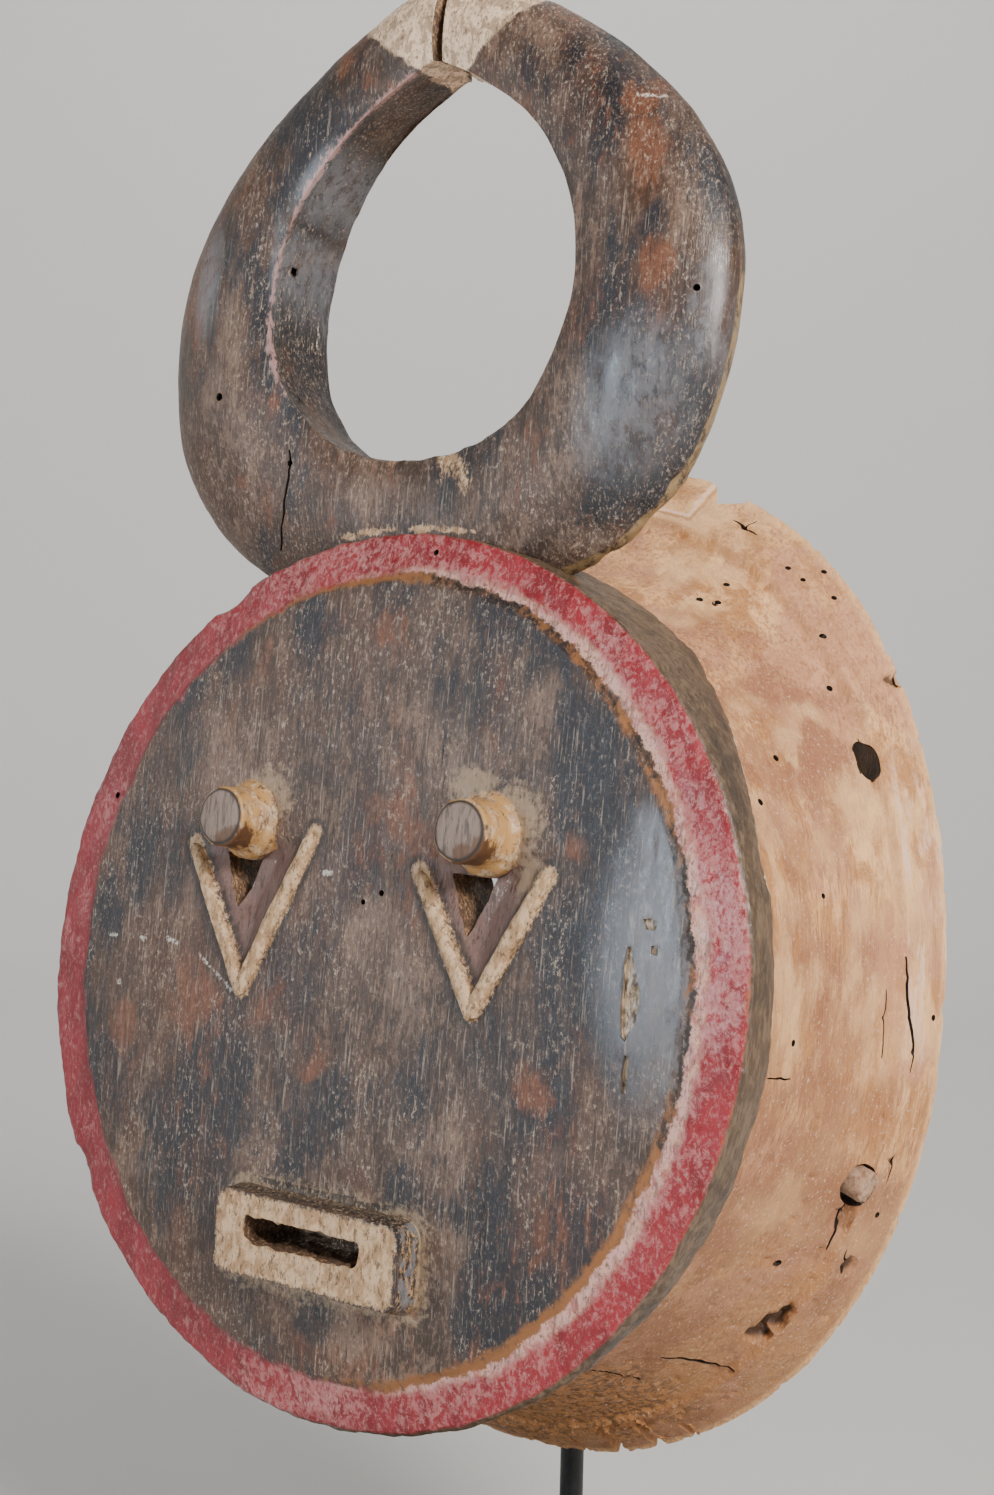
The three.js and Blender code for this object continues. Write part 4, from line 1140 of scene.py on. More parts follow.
def finish_face(face):
    """Low relief of the face and what its paint reads at each point."""
    points, normals = vertices_of(face)
    x, y, z = points.T
    reach = np.hypot(x / FIELD_HALF_X, z / FIELD_HALF_Z)
    band = (reach - 1) * (FIELD_HALF_X + FIELD_HALF_Z) / 2
    turn = np.degrees(np.arctan2(z, x))
    right, upper = x / DISC_RADIUS, z / DISC_RADIUS
    front = normals[:, 1] < -0.3
    depth = y - face_y(reach)

    # Where the ridges, pegs, mouth, chips and sides are, in millimetres from their middles or borders
    arm = np.min([distance_to_line(points, [eye["apex"], eye[end]]) for eye in EYES
                  for end in ("outer", "inner")], axis=0)
    low = depth < 1.5
    peg = np.min([np.hypot(x - e["x"], z - e["z"]) for e in EYES], axis=0)
    eye_end = np.where(y < EYE_FRONT + 2.4, EYE_RADIUS - 0.9 - peg, -5)
    eye_side = 12.4 - peg - 0.35 * np.clip(-3 - y, -9, 0)
    eye_side = np.where((peg < 14) & (y < 1) & (eye_end < 0.6), eye_side, -5)
    burnt = np.max([blob(points, (e["x"] + 4, EYE_FRONT + 3, e["z"] - 6), (8, 7, 5), 25)
                    for e in EYES], axis=0)
    in_mouth = outline_distance(points, rounded_outline(MOUTH))
    in_slot = outline_distance(points, rounded_outline(SLOT))
    mouth_face = np.where(y < MOUTH["front"] + 1.9, -0.5 - in_mouth, -5)
    wall = (y >= MOUTH["front"] + 0.9) & (y < -2.2) & (np.abs(in_mouth) < 4)
    slot = np.where((in_slot < 0.9) & (y > MOUTH["front"] + 0.9), 1.5, -3)
    chip = np.where((np.abs(x - 98.5) < 9) & (z > -28) & (z < 26) & (depth > 0.45), 1.5, -3)
    sides = smooth(BAND_DROP - 1, BAND_DROP + 1.6, y) * smooth(10, 14, band)
    worn = 0.55 * smooth(13, 2, band) * smooth(-0.3, 0.4, right) + 0.6 * fractal(points, 22, 27, 4) - 0.15
    worn -= 0.45 * bump(np.abs(turn), 165, 50)
    for amount, at, half in BAND_WEAR:
        worn += amount * bump(turn, at, half)
    border = np.max([bump(turn, 103, 26), bump(turn, -50, 42), 0.5 * bump(turn, 45, 30)], axis=0)

    # Relief along the normals, then the border of the field and the outline of the disc
    relief = 0.32 * fractal(points, (34, 34, 60), 3) + 0.13 * fractal(points, (4, 4, 22), 5)
    relief += 0.06 * fractal(points, (1.9, 1.9, 8), 6, 2)
    chalky = smooth(-0.5, 1.5, np.max([RIDGE_WIDTH * 0.62 - arm * low, eye_side, mouth_face], axis=0))
    relief += chalky * 0.16 * fractal(points, 2.6, 7, 2)
    crest = smooth(0.9, 0.2, np.abs(arm - 0.4)) * low * (arm < 3)
    relief -= 0.35 * crest * smooth(-0.2, 0.5, noise(points, 6, 8))
    relief += smooth(1, 4, band) * (0.3 * fractal(points, 9, 9) + 0.1 * fractal(points, 2.6, 10, 2))
    relief += np.where(slot > 0, 0.8 * fractal(points, 2.4, 11, 2), 0)
    relief += np.where(wall | (mouth_face > -1), 0.25 * fractal(points, 5, 12), 0)
    relief -= 0.5 * smooth(0.9, 0.0, np.abs(distance_to_line(points, BAND_SCRATCH))) * front
    for line in FACE_SCRATCHES:
        relief -= 0.5 * smooth(1.2, 0.2, distance_to_line(points, line)) * front
    points += normals * relief[:, None]
    away = np.stack([x, 0 * y, z], 1) / np.hypot(x, z).clip(1)[:, None]
    wander = 0.7 * fractal(points, 13, 13, 3) * smooth(5, 0, np.abs(band))
    edge = smooth(9, 14, band) * (0.35 * fractal(points, 14, 15) + 0.18 * fractal(points, 4, 17, 2))
    for centre, size, chipped in EDGE_CHIPS:
        edge -= chipped * blob(points, centre, size)
    points += away * (wander + edge)[:, None]

    corner = x > MOUTH["right"] - 5
    strip = -2.8 + 5.4 * smooth(-0.25, 0.7, right) + 1.6 * smooth(0.7, 1, upper) + fractal(points, 9, 28)
    rear = (band > 12) & (x > 0) & (z > 30) & (z < 122)
    tint(face, band=np.where(front | (band > 9), band, -60), strip=strip, worn=worn, border=border,
         sides=sides * 4 - 2, rear=np.where(rear, y - edge_back(z) + 2.4, -9),
         hollow=np.where(y > 16, 1.0, 0.0) * (band < 2),
         cream=np.maximum(np.where(low, RIDGE_WIDTH * 0.54 - arm, -5), mouth_face),
         flank=np.where(low & (peg > 12), bump(arm, 3.8, 1.5), 0),
         socket=np.where(depth > 0.8, 1.0, 0.0) * (arm < 20) * (band < -20),
         eye_end=eye_end, eye_side=eye_side, burnt=burnt,
         # Right wall of the mouth, which gets a painted blue-grey highlight
         mouth_side=np.where(wall & (in_mouth > -1.5) & corner, 1.5, -3),
         mouth_top=np.where(wall & (z > MOUTH["top"] - 4) & (x < MOUTH["right"] - 2), 1.5, -3),
         halo=np.maximum(1 - np.clip(in_mouth, 0, 9) / 9, 1.1 * blobs(points, FACE_HALO)) * (depth > -2.4),
         dark=patchy(points, FACE_DARK, 21, 1.1, -0.05, 1.1),
         rust=patchy(points, FACE_RUST, 23, 1.2, -0.75, 0.85),
         pale=patchy(points, FACE_PALE, 25, 1.2, -0.6, 0.45),
         # Where this is high the paint is smoother and gets a painted blue-grey sheen
         gloss=np.maximum(blobs(points, FACE_GLOSS_AND_SHEEN), 0.7 * bump(band, 3, 6) * smooth(0.2, 0.7, right)),
         warm=smooth(0.15, -0.8, right), slot=slot, chip=chip, speck=specks(points), **NOT_ON_FACE)
    tint_kinds(face)
    place(face, points)


def finish_horns(horns):
    """Low relief of the horns and what their paint reads at each point."""
    points, normals = vertices_of(horns)
    x, y, z = points.T
    centre_z = LOOP_INNER["wide"]
    away = np.stack([x, 0 * y, z - centre_z], 1) / np.hypot(x, z - centre_z).clip(1)[:, None]
    outward = np.einsum("ij,ij->i", normals, away)
    inner_wall = smooth(-0.35, -0.8, outward) * smooth(1.5, 5, y)
    relief = 0.5 * fractal(points, (26, 26, 44), 71) + 0.2 * fractal(points, (5, 5, 20), 73)
    relief += 0.06 * fractal(points, (1.9, 1.9, 8), 74, 2)
    relief -= inner_wall * 1.1 * (1 - tool_marks(points, (9, 9, 15), 75))
    relief += blobs(points, CHISELLED) * 1.1 * fractal(points, (5, 5, 9), 77, 2)
    back = smooth(0.2, 0.8, normals[:, 1])
    relief -= back * 0.7 * (1 - tool_marks(points, (11, 11, 17), 79))
    for line in HORN_SCRATCHES:
        relief -= 0.4 * smooth(1.0, 0.2, distance_to_line(points, line))
    points += normals * relief[:, None]
    left, right = ((x - x0) * across + (z - z0) * up for (x0, z0), (across, up) in (TIP_LEFT, TIP_RIGHT))
    # Inner front edge of the left horn, painted pale pink: edge wear and a painted highlight
    edge = edge_curve(LOOP_INNER, 40)
    edge = edge[edge[:, 1] > HORN_CREST_FROM_Z]
    crest = distance_to_line(points, upright(edge * (-1, 1), 0.3))
    foot_line = 0.8 - np.abs(np.hypot(x, z) - DISC_RADIUS - 2) + 1.2 * fractal(points, 6, 86, 2)
    behind = np.where(x > 0, smooth(13.5, 16, y), smooth(17, 21, y)) * smooth(-0.2, 0.2, outward)
    behind *= smooth(232, 192, z + 16 * fractal(points, 18, 87))
    foot_line = np.where((np.abs(x) < 66) & (y < 6), foot_line, -5)
    scratched = 0.8 - np.minimum(distance_to_line(points, HORN_HAIRLINE) * 1.3,
                                 distance_to_line(points, HORN_SCRATCHES[0]))
    tint(horns, tip=np.where(x < 1, left, right), back=behind * 3 - 1.6, crest=1.9 - crest, wall=inner_wall,
         cream=np.maximum(patchy(points, HORN_CREAM, 85, 2.0, -1.3, 0.5), foot_line),
         dark=patchy(points, HORN_DARK, 81, 1.1, -0.15, 1.1) + 0.3 * inner_wall,
         rust=patchy(points, HORN_RUST, 83, 1.3, -0.7, 0.85) - 2 * inner_wall,
         pale=patchy(points, HORN_PALE, 84, 1.2, -0.6, 0.8) - 0.2 * inner_wall,
         # Where this is high the paint is smoother and gets a painted blue-grey sheen
         gloss=blobs(points, HORN_GLOSS_AND_SHEEN), warm=smooth(10, -90, x), speck=scratched, **NOT_ON_HORNS)
    tint_kinds(horns)
    place(horns, points)


def finish_shell(shell):
    """Low relief of the shell and what its wood reads at each point."""
    points, normals = vertices_of(shell)
    x, y, z = points.T
    angle = np.arctan2(z, x)
    facing = normals[:, 0] * np.cos(angle) + normals[:, 2] * np.sin(angle)
    outside, inside = facing > 0.2, facing < -0.2
    around = np.stack([140 * np.cos(angle), y, 140 * np.sin(angle)], 1)
    flange = smooth(96, 98.5, y)
    relief = 0.3 * fractal(points, 40, 93, 2)
    relief -= 0.34 * (1 - tool_marks(around, (34, 10, 34), 91)) * (1 - 0.7 * flange)
    relief += 0.16 * fractal(around, (22, 4, 22), 92, 2) + 0.1 * fractal(points, (2.6, 2.6, 14), 95)
    relief -= np.where(inside, 1.3 * (1 - tool_marks(around, (17, 20, 17), 97)), 0)
    relief += smooth(112, 117, y) * 0.35 * fractal(points, 18, 99, 2)
    pits = blobs(warped(points, 4, 100), END_GRAIN) * outside
    relief -= pits * np.clip(0.8 * fractal(points, 2.4, 101, 2) + 0.15, 0, 0.9)
    grooved = distance_to_line(points, UNDERCUT) + 3 * smooth(103, 112, y)
    relief -= 2.2 * smooth(3.2, 0.6, grooved) * outside * smooth(90, 94, y)
    # Hollows are darkened more the deeper they are: painted shade
    cavity = np.zeros(len(points))
    for centre, size, depth in SHELL_HOLLOWS:
        sunk = smooth(0.05, 0.6, blob(points, centre, size) + 0.15 * noise(points, 2.5, 102)) * outside
        relief -= depth * sunk
        cavity = np.maximum(cavity, sunk * min(1, depth / 2.4))
    points += normals * relief[:, None]
    back_edge = edge_back(DISC_RADIUS * np.sin(angle))
    raised = np.where(z > 100, np.maximum(np.abs(x) - LUG_HALF_WIDTH, RIM_Y - LUG_WIDTH - y), 6)
    # Whitish streaks on the flange, strongest near the middle of its height: wear from hands and painted
    # highlights
    tint(shell, flange=flange * outside * (0.85 + bump(z, 28, 64)) - 1, raised=np.clip(raised, -6, 6),
         inside=np.where(inside | ((y < 24) & ~outside), 1.5, -1), pits=pits, cavity=cavity,
         # A darker line along the step where the flange begins: painted shade
         lip=bump(y, RIM_Y - 1, 3) * outside, groove=bump(y, RIM_Y - FLANGE_WIDTH - 0.6, 1.6) * outside,
         stain=patchy(points, SHELL_STAINS, 103, 1.3, -0.5, 0.55),
         light=patchy(points, SHELL_LIGHT, 105, 1.3, -0.6, 0.45),
         # Next to the disc's back and towards the bottom the shell is darkened: painted shade
         crease=smooth(9, 1, y - back_edge), low=smooth(10, -100, z),
         cut_line=bump(y, back_edge + 1.5, 2.2) * smooth(0.1, 0.5, z / DISC_RADIUS))
    tint_kinds(shell)
    place(shell, points)


# Materials

class Finish:
    """A material whose nodes are written as calls: each value is a socket or a plain number."""

    def __init__(self, name):
        self.material = bpy.data.materials.new(name)
        self.material.use_nodes = True
        self.tree = self.material.node_tree
        c, s = math.cos(LEAN), math.sin(LEAN)
        shift = (0, -(c * DISC_CENTRE_Y - s * DISC_CENTRE_Z), -(s * DISC_CENTRE_Y + c * DISC_CENTRE_Z))
        metres = self.node("TexCoord", output="Object")
        self.spot = self.node("Mapping", {"Vector": metres, "Location": shift, "Rotation": (LEAN, 0, 0),
                                          "Scale": (1 / MM, 1 / MM, 1 / MM)})

    def wire(self, socket, value):
        """Links a socket to an input or sets the input to a number."""
        if isinstance(value, bpy.types.NodeSocket):
            self.tree.links.new(value, socket)
        else:
            socket.default_value = value

    def node(self, kind, inputs=None, output=0, **settings):
        node = self.tree.nodes.new("ShaderNode" + kind)
        for name, value in settings.items():
            setattr(node, name, value)
        for name, value in (inputs or {}).items():
            self.wire(node.inputs[name], value)
        return node.outputs[output]

    def at(self, name):
        """Value kept at the mesh's points."""
        return self.node("Attribute", output="Fac", attribute_name=name)

    def math(self, operation, a, b=0.0, clamp=False):
        return self.node("Math", {0: a, 1: b}, operation=operation, use_clamp=clamp)

    def plus(self, a, b):
        return self.math("ADD", a, b)

    def minus(self, a, b):
        return self.math("SUBTRACT", a, b)

    def times(self, a, b):
        return self.math("MULTIPLY", a, b)

    def grain(self, size, seed, detail, roughness, distortion=0.0):
        """Noise from 0 to 1 over `size` millimetres, one number or one for each axis."""
        size = np.broadcast_to(np.asarray(size, float), 3)
        shift = (seed * 1.7, seed * 2.3, seed * 0.9)
        spot = self.node("Mapping", {"Vector": self.spot, "Location": shift, "Scale": tuple(1 / size)})
        return self.node("TexNoise", {"Vector": spot, "Scale": 1.0, "Detail": detail,
                                      "Roughness": roughness, "Distortion": distortion})

    def span(self, value, low, high, start=0.0, end=1.0):
        """Smooth step of a value from `low` to `high`, as a number from `start` to `end`."""
        return self.node("MapRange", {"Value": value, "From Min": low, "From Max": high, "To Min": start,
                                      "To Max": end}, interpolation_type="SMOOTHSTEP")

    def sway(self, noise, amount):
        """The noise about zero, over `amount` from its lowest to its highest."""
        return self.times(self.minus(noise, 0.5), amount)

    def frayed(self, name, noise, amount, low, high):
        """Share from 0 to 1 of a kept value whose border frays with a noise."""
        return self.span(self.plus(self.at(name), self.sway(noise, amount)), low, high)

    def mix(self, a, b, share):
        a, b = (c if isinstance(c, bpy.types.NodeSocket) else (*c, 1.0) for c in (a, b))
        return self.node("Mix", {0: share, 6: a, 7: b}, 2, data_type="RGBA")

    def over(self, colour, *layers):
        """The colour with others laid over it: each has its share and, for some, what scales the share."""
        for laid, share, *scale in layers:
            colour = self.mix(colour, laid, self.times(share, *scale) if scale else share)
        return colour

    def finish(self, colour, roughness, height=None, depth=0.0, specular=0.5, strength=1.0):
        """Sets the surface. `height` is a fine relief that is `depth` metres deep."""
        inputs = {"Base Color": colour, "Roughness": roughness, "Specular IOR Level": specular}
        if height is not None:
            inputs["Normal"] = self.node("Bump", {"Height": height, "Distance": depth, "Strength": strength})
        surface = self.tree.nodes["Principled BSDF"]
        for name, value in inputs.items():
            self.wire(surface.inputs[name], value)
        return self.material


def old_paint():
    """Worn paint of the face and the horns."""
    f = Finish("old_paint")
    line = f.grain((0.7, 0.7, 15), 1, 3, 0.7)
    streak = f.grain((1.5, 1.5, 9), 2, 4, 0.72, 0.25)
    dust = f.grain((1.0, 1.0, 1.7), 3, 3, 0.8)
    mottle = f.grain((4, 4, 7.5), 4, 4, 0.75, 0.4)
    cloud = f.grain((15, 15, 30), 5, 5, 0.7, 0.4)
    wear = f.grain((2.6, 2.6, 3.4), 12, 4, 0.78, 0.5)
    rag = f.plus(f.times(streak, 0.55), f.times(mottle, 0.45))

    # Brown and black ground with scuffs, a painted blue-grey sheen on its glossy patches and the bare strip
    # behind the horns
    painted_sheen = f.times(f.span(f.at("gloss"), 0.1, 1.0), f.span(mottle, 0.36, 0.6, 0.35, 1.0))
    ground = f.over(
        BROWN,
        (TAUPE, f.span(cloud, 0.4, 0.58)),
        (UMBER, f.span(f.grain(24, 6, 3, 0.6), 0.5, 0.62), 0.5),
        (UMBER, f.at("warm"), f.span(cloud, 0.38, 0.56, 0.25, 0.75)),
        (TAUPE_LIGHT, f.span(mottle, 0.48, 0.64), 0.55),
        (TAUPE_LIGHT, f.frayed("pale", rag, 6.0, -0.4, 1.1), 0.6),
        (BLACK_BLUE, f.frayed("dark", rag, 8.0, -0.55, 1.0), 0.92),
        (RUST, f.frayed("rust", rag, 6.0, -0.3, 0.9), 0.8),
        (BROWN_DEEP, f.at("wall"), 0.3),
        (SCUFF, f.span(dust, 0.53, 0.69), f.span(cloud, 0.4, 0.62, 0.2, 0.85)),
        (SCUFF, f.span(line, 0.57, 0.7), 0.5),
        (BROWN_DEEP, f.span(line, 0.44, 0.3, 0, 0.75)),
        (BROWN_DEEP, f.span(dust, 0.44, 0.31, 0, 0.75)),
        (SHEEN_BLUE_GREY, painted_sheen, 0.75),
        (f.mix(TAN_STRIP, BROWN, f.span(mottle, 0.46, 0.64)), f.frayed("back", rag, 3.0, -0.2, 0.6), 0.85),
    )

    # Eyes and mouth, horn tips and gouges
    # Right wall of the mouth: deep brown with cream dust and a blue-grey streak that is a painted highlight
    mouth_side = f.over(
        BROWN_DEEP,
        (CREAM_DEEP, f.span(dust, 0.44, 0.6)),
        (SLATE_HIGHLIGHT, f.span(mottle, 0.46, 0.56, 0, 0.8)),
    )
    chalk = f.over(
        CREAM,
        (CREAM_DEEP, f.span(f.grain((3, 3, 5), 7, 4, 0.7), 0.42, 0.6)),
        (DIRT, f.span(f.grain((1.3, 1.3, 2.6), 8, 3, 0.75), 0.52, 0.66, 0, 0.8)),
    )
    peg_side = f.over(
        chalk,
        (OCHRE, f.span(f.grain(5, 9, 3, 0.6), 0.42, 0.56)),
        (BROWN_DEEP, f.span(f.grain(2.4, 19, 3, 0.7), 0.58, 0.7, 0, 0.85)),
        (BURNT, f.frayed("burnt", mottle, 3.0, 0.1, 0.6)),
    )
    peg_end = f.over(
        EYE_GREY,
        (BROWN, f.span(streak, 0.46, 0.64, 0, 0.7)),
        (BURNT, f.frayed("burnt", mottle, 2.0, 0.2, 0.7), 0.8),
    )
    tip = f.over(
        TIP_CREAM,
        (TIP_BROWN, f.span(mottle, 0.44, 0.6, 0, 0.85)),
        (DIRT, f.span(dust, 0.52, 0.66, 0, 0.8)),
    )
    ground = f.over(
        ground,
        (f.mix(SOCKET_BROWN, BROWN, f.span(streak, 0.5, 0.66)), f.at("socket"), 0.75),
        (HALO, f.frayed("halo", f.grain(2.4, 9, 3, 0.75), 2.4, 0.25, 1.0), 0.7),
        (mouth_side, f.span(f.at("mouth_side"), 0, 1, 0, 0.9)),
        (f.mix(BROWN_DEEP, HALO, f.span(dust, 0.5, 0.66)), f.span(f.at("mouth_top"), 0, 1), 0.8),
        (BROWN_DEEP, f.at("flank"), f.span(mottle, 0.38, 0.58, 0.3, 0.9)),
        (chalk, f.frayed("cream", dust, 5.0, -0.5, 0.7)),
        # Pale pink along the left horn's inner edge: edge wear and a painted highlight
        (PINK_PALE, f.frayed("crest", mottle, 9.0, 0.1, 1.6), 0.6),
        (peg_side, f.frayed("eye_side", dust, 3.6, -0.3, 1.2)),
        (BROWN_DEEP, f.span(f.at("eye_end"), -0.7, 0.1)),
        (peg_end, f.span(f.at("eye_end"), 0.0, 1.0)),
        (tip, f.frayed("tip", mottle, 6.0, -0.4, 0.6)),
        (f.mix(SLOT_BROWN, FIBRE, f.span(dust, 0.5, 0.68)), f.span(f.at("slot"), 0, 1)),
        (f.mix(GOUGE, GOUGE_DEEP, f.span(mottle, 0.42, 0.6)), f.span(f.at("chip"), 0, 0.8)),
        (CHALK, f.frayed("speck", dust, 3.0, 0.0, 0.7), 0.7),
    )

    # Red band with its worn patches, the cream strip along the field and the rusty line on the border
    red = f.over(
        CRIMSON,
        (CRIMSON_DEEP, f.span(cloud, 0.42, 0.6)),
        (PINK, f.frayed("worn", wear, 10.0, -0.4, 1.4), 0.85),
        (PINK_PALE, f.frayed("worn", dust, 7.0, 0.5, 2.2), 0.8),
        (BAND_DUST, f.span(dust, 0.53, 0.66, 0, 0.6)),
        (CRIMSON_DEEP, f.span(dust, 0.43, 0.31, 0, 0.75)),
    )
    strip = f.over(
        STRIP,
        (PINK_PALE, f.span(wear, 0.4, 0.6)),
        (DIRT, f.span(dust, 0.52, 0.66, 0, 0.8)),
        (CRIMSON, f.span(mottle, 0.5, 0.64, 0, 0.55)),
        (TAUPE, f.span(streak, 0.5, 0.64, 0, 0.6)),
    )
    side = f.over(
        OLIVE,
        (OLIVE_LIGHT, f.span(streak, 0.42, 0.62)),
        (BROWN_DEEP, f.span(cloud, 0.48, 0.66, 0, 0.7)),
    )
    band = f.plus(f.at("band"), f.sway(f.grain(4, 14, 4, 0.75), 6.0))
    ground = f.over(
        ground,
        (BROWN_DEEP, f.span(f.math("ABSOLUTE", f.plus(band, 0.3)), 1.1, 0.2), 0.8),
        (RUST_LINE, f.span(band, -3.2, -1.0), f.frayed("border", mottle, 3.0, 0.1, 0.8)),
        (strip, f.span(band, 0.2, 1.0)),
        (red, f.span(f.minus(band, f.at("strip")), 0.0, 3.0)),
        (EDGE_ORANGE, f.span(band, 14.8, 16.0), f.span(mottle, 0.4, 0.56, 0, 0.8)),
        (side, f.frayed("sides", dust, 2.4, -0.6, 0.6)),
        (TIP_CREAM, f.frayed("rear", mottle, 9.0, 0.2, 1.4), 0.75),
        (f.mix(INSIDE, INSIDE_DEEP, f.span(cloud, 0.4, 0.65)), f.at("hollow")),
        (f.mix(SLOT_BROWN, FIBRE, f.span(dust, 0.48, 0.64)), f.at("hole_wall")),
        # Cracks and wormholes painted near black: painted shadow
        (HOLE_SHADOW, f.at("shadowed_cut")),
    )

    matt = f.minus(f.span(mottle, 0.38, 0.62, 0.36, 0.5), f.times(f.at("gloss"), 0.12))
    dull = f.math("MAXIMUM", f.span(f.at("cream"), -0.2, 0.8), f.span(f.at("slot"), 0, 1))
    height = f.plus(f.plus(f.times(line, 0.5), f.times(streak, 0.6)), f.times(dust, 0.45))
    return f.finish(ground, f.math("ADD", matt, f.times(dull, 0.3), clamp=True), height, 0.00032,
                    strength=f.span(f.at("gloss"), 0.0, 1 / 1.2, 1.0, 0.16))


def bare_wood():
    """Unpainted shell: tan wood with pink stains, brighter on the rim where hands have worn it, with painted
    highlights on the flange.
    """
    f = Finish("bare_wood")
    fibre = f.grain((1.2, 1.2, 16), 31, 4, 0.7, 0.2)
    fine = f.grain((0.9, 0.9, 3), 32, 3, 0.75)
    cloud = f.grain((11, 11, 24), 33, 5, 0.68, 0.5)
    dots = f.grain(1.1, 35, 2, 0.7)
    streaks = f.grain((5, 5, 26), 37, 4, 0.7)
    rag = f.plus(f.times(fibre, 0.4), f.times(cloud, 0.6))
    rubbed_and_highlit = f.times(f.frayed("flange", rag, 2.6, -0.2, 0.9), f.span(streaks, 0.5, 0.62, 0.02, 0.75))
    raised = f.plus(f.at("raised"), f.sway(cloud, 1.5))
    pits = f.mix(SHELL_PITS, SHELL_TAN, f.span(f.grain(2.2, 36, 4, 0.7), 0.42, 0.56))
    inside = f.mix(INSIDE, INSIDE_DEEP, f.span(cloud, 0.4, 0.6))
    wood = f.over(
        SHELL_TAN,
        (SHELL_PEACH, f.span(cloud, 0.4, 0.58)),
        (SHELL_PINK, f.span(f.grain(34, 34, 3, 0.6), 0.46, 0.58), 0.75),
        (SHELL_FIBRE, f.span(fibre, 0.48, 0.64), 0.7),
        (SHELL_STAIN, f.frayed("stain", rag, 7.0, -0.4, 1.0), 0.8),
        (SHELL_LIGHT_TAN, f.frayed("light", rag, 6.0, -0.3, 1.0), 0.6),
        # Darker towards the bottom: painted shade
        (SHELL_LOWER_SHADE, f.at("low"), f.span(cloud, 0.38, 0.62, 0.42, 0.8)),
        # Whitish flange streaks: wear and painted highlights
        (SHELL_WHITE, rubbed_and_highlit),
        # A darker line along the step where the flange begins: painted shade
        (SHELL_FIBRE, f.at("groove"), f.span(cloud, 0.42, 0.56, 0.1, 0.6)),
        (SHELL_LIGHT_TAN, f.at("lip"), f.span(fibre, 0.4, 0.6, 0.2, 0.8)),
        (SHELL_WHITE, f.span(f.math("ABSOLUTE", raised), 0.9, 0.3, 0, 0.75)),
        (SHELL_FIBRE, f.span(f.math("ABSOLUTE", f.minus(raised, 1.5)), 0.8, 0.2, 0, 0.6)),
        (SHELL_DARK, f.span(dots, 0.62, 0.74), 0.35),
        (SHELL_DARK, f.span(fine, 0.4, 0.3), 0.35),
        (pits, f.span(f.at("pits"), 0.05, 0.6), 0.75),
        # Shell darkened next to the disc's back: painted shade
        (CREASE_SHADE, f.span(f.at("crease"), 0.4, 1), 0.5),
        (SHELL_WHITE, f.frayed("cut_line", dots, 3.0, 0.2, 0.9), 0.8),
        # Sunk hollows darkened by their depth: painted shade
        (HOLE_SHADOW, f.span(f.at("cavity"), 0.35, 0.9), 0.85),
        (inside, f.span(f.at("inside"), -0.2, 0.8), 0.85),
        (f.mix(SHELL_TAN, SHELL_FIBRE, f.span(fibre, 0.4, 0.6)), f.at("fresh_cut")),
        # Walls of the drilled holes painted dark: painted shade
        (f.mix(HOLE_SHADE_GREY, SHELL_DARK, f.span(cloud, 0.42, 0.6)), f.at("hole_wall")),
        # Cracks and wormholes painted near black: painted shadow
        (HOLE_SHADOW, f.at("shadowed_cut")),
    )
    matt = f.minus(f.span(cloud, 0.38, 0.62, 0.46, 0.66), f.times(rubbed_and_highlit, 0.2))
    height = f.plus(f.times(fibre, 0.6), f.times(fine, 0.5))
    return f.finish(wood, matt, height, 0.0006, 0.4)


def peg_wood():
    f = Finish("peg_wood")
    fine = f.grain(0.6, 42, 3, 0.6)
    # The split in the end is painted dark, a painted shade; the dark fine grain is the wood's own
    dark = f.math("MAXIMUM", f.span(f.at("split"), 0.3, 0.8), f.span(fine, 0.38, 0.28, 0, 0.7))
    wood = f.over(PEG_LIGHT, (PEG_BROWN, f.span(f.grain(2.6, 41, 4, 0.6), 0.45, 0.68)), (SHELL_DARK, dark))
    return f.finish(wood, 0.8, fine, 0.0004, 0.3)


def black_steel():
    f = Finish("black_steel")
    speck = f.grain(0.7, 51, 3, 0.6)
    colour = f.mix(STEEL, STEEL_WORN, f.span(speck, 0.45, 0.7))
    return f.finish(colour, f.span(speck, 0.3, 0.7, 0.38, 0.52), speck, 0.00006)


def dress(piece, material, *nodes, slot):
    piece.data.materials.clear()
    piece.data.materials.append(material)
    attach(piece, "root")
    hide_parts(*nodes)


# Stage

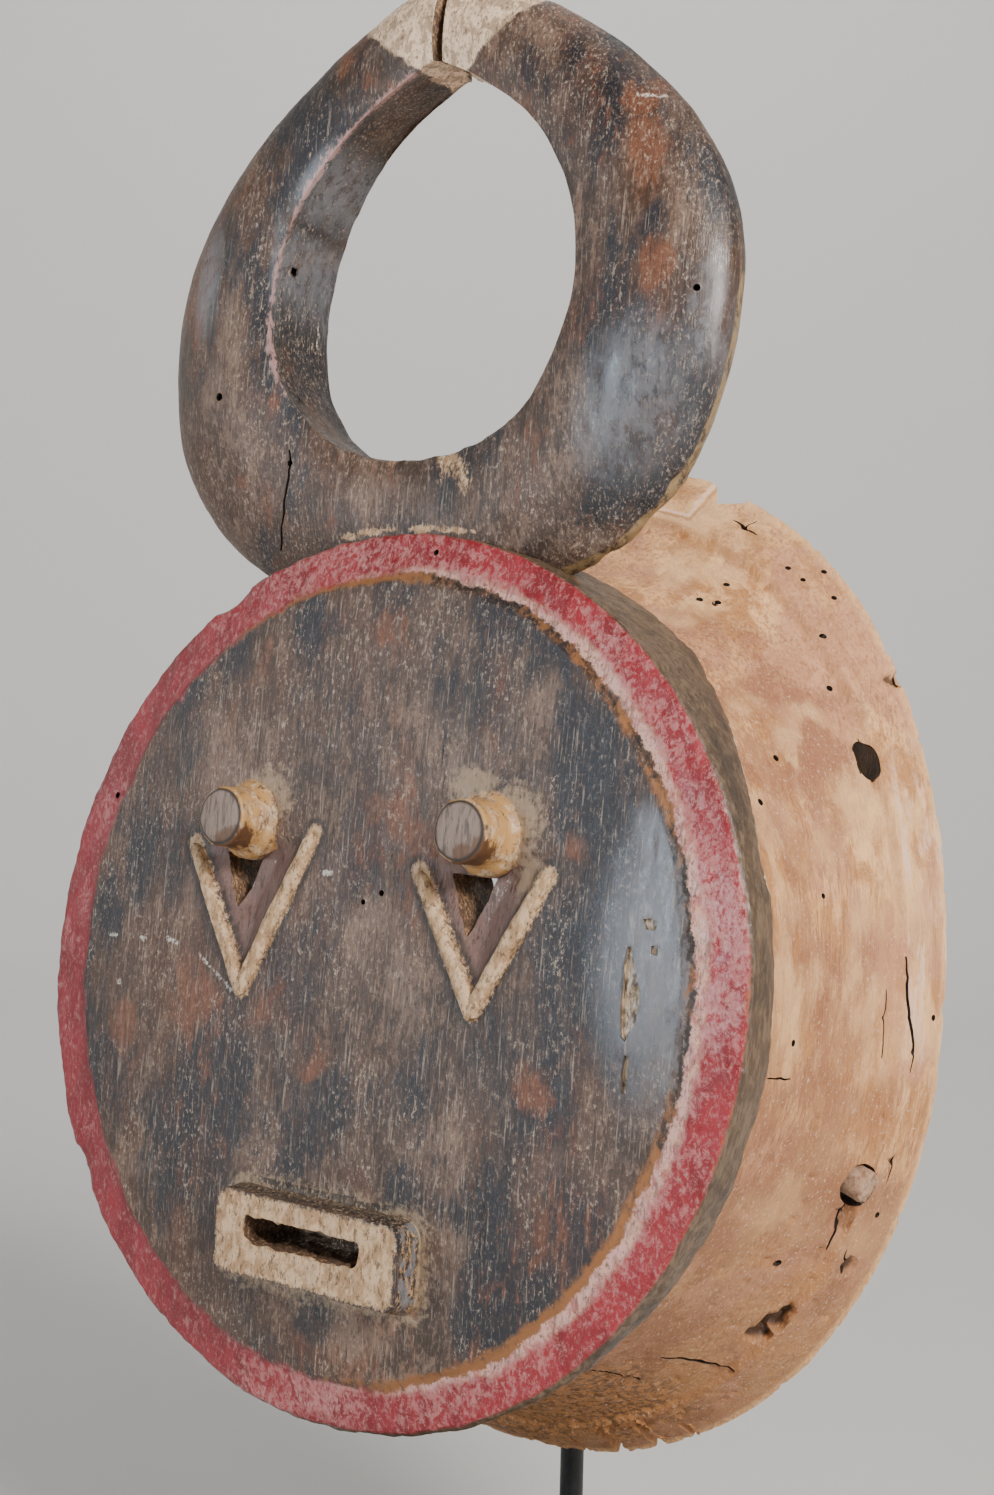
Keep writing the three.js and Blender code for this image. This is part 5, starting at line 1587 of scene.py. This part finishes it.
def backdrop():
    """Pale floor that curves up into a round wall."""
    profile = [(0.01, 0.0), (FLOOR_RADIUS * 0.5, 0.0), (FLOOR_RADIUS, 0.0)]
    for turn in np.linspace(0, TAU / 4, 13)[1:]:
        profile.append((FLOOR_RADIUS + COVE * math.sin(turn), COVE * (1 - math.cos(turn))))
    profile.append((FLOOR_RADIUS + COVE, WALL_TOP))
    angles = np.arange(0, TAU, TAU / 96)
    points = [(r * math.cos(a), r * math.sin(a), z) for r, z in profile for a in angles]
    mesh = bpy.data.meshes.new("backdrop")
    mesh.from_pydata(points, [], quads(len(profile), len(angles)) + [list(range(len(angles)))])
    mesh.polygons.foreach_set("use_smooth", [True] * len(mesh.polygons))
    mesh.update()
    mesh.materials.append(Finish("backdrop").finish((*BACKDROP, 1), 0.9))
    return linked("backdrop", mesh)


def area_light(name, spot, aim, size, power, colour):
    data = bpy.data.lights.new(name, "AREA")
    data.shape, data.size, data.energy, data.color = "DISK", size, power, colour
    light = linked(name, data)
    light.location = spot
    light.rotation_euler = (Vector(aim) - Vector(spot)).to_track_quat("-Z", "Y").to_euler()
    light.visible_camera = False


def photo_camera():
    """Camera at the photo's place: turned to the right of the face, with a small roll."""
    data = bpy.data.cameras.new("camera")
    camera = linked("camera", data)
    data.lens, data.sensor_width, data.sensor_fit = LENS, SENSOR, "AUTO"
    data.dof.use_dof = False
    yaw, roll = math.radians(CAMERA_YAW), math.radians(CAMERA_ROLL)
    back = Vector((math.sin(yaw), -math.cos(yaw), 0))
    right, up = Vector((math.cos(yaw), math.sin(yaw), 0)), Vector((0, 0, 1))
    axes = (math.cos(roll) * right + math.sin(roll) * up, math.cos(roll) * up - math.sin(roll) * right, back)
    camera.matrix_world = Matrix.Translation(CAMERA_SPOT) @ Matrix(axes).transposed().to_4x4()
    bpy.context.scene.camera = camera


paint, wood = old_paint(), bare_wood()
face, horns, shell = face_piece(), horn_piece(), shell_piece()
finish_face(face)
finish_horns(horns)
finish_shell(shell)
for piece, material in ((face, paint), (horns, paint), (shell, wood)):
    dress(piece, material, "mask", slot="mask_wood")
dress(peg_piece(), peg_wood(), "rim_peg", slot="peg_wood")
steel = black_steel()
rod, foot = stand_pieces()
dress(rod, steel, "stand_rod", slot="stand_steel")
dress(foot, steel, "foot_plate", slot="stand_steel")

backdrop()
for name, settings in LIGHTS.items():
    area_light(name, *settings)
world = bpy.data.worlds.new("studio")
world.use_nodes = True
sky = world.node_tree.nodes["Background"].inputs
sky["Color"].default_value = (*SKY, 1)
sky["Strength"].default_value = SKY_STRENGTH
bpy.context.scene.world = world
photo_camera()
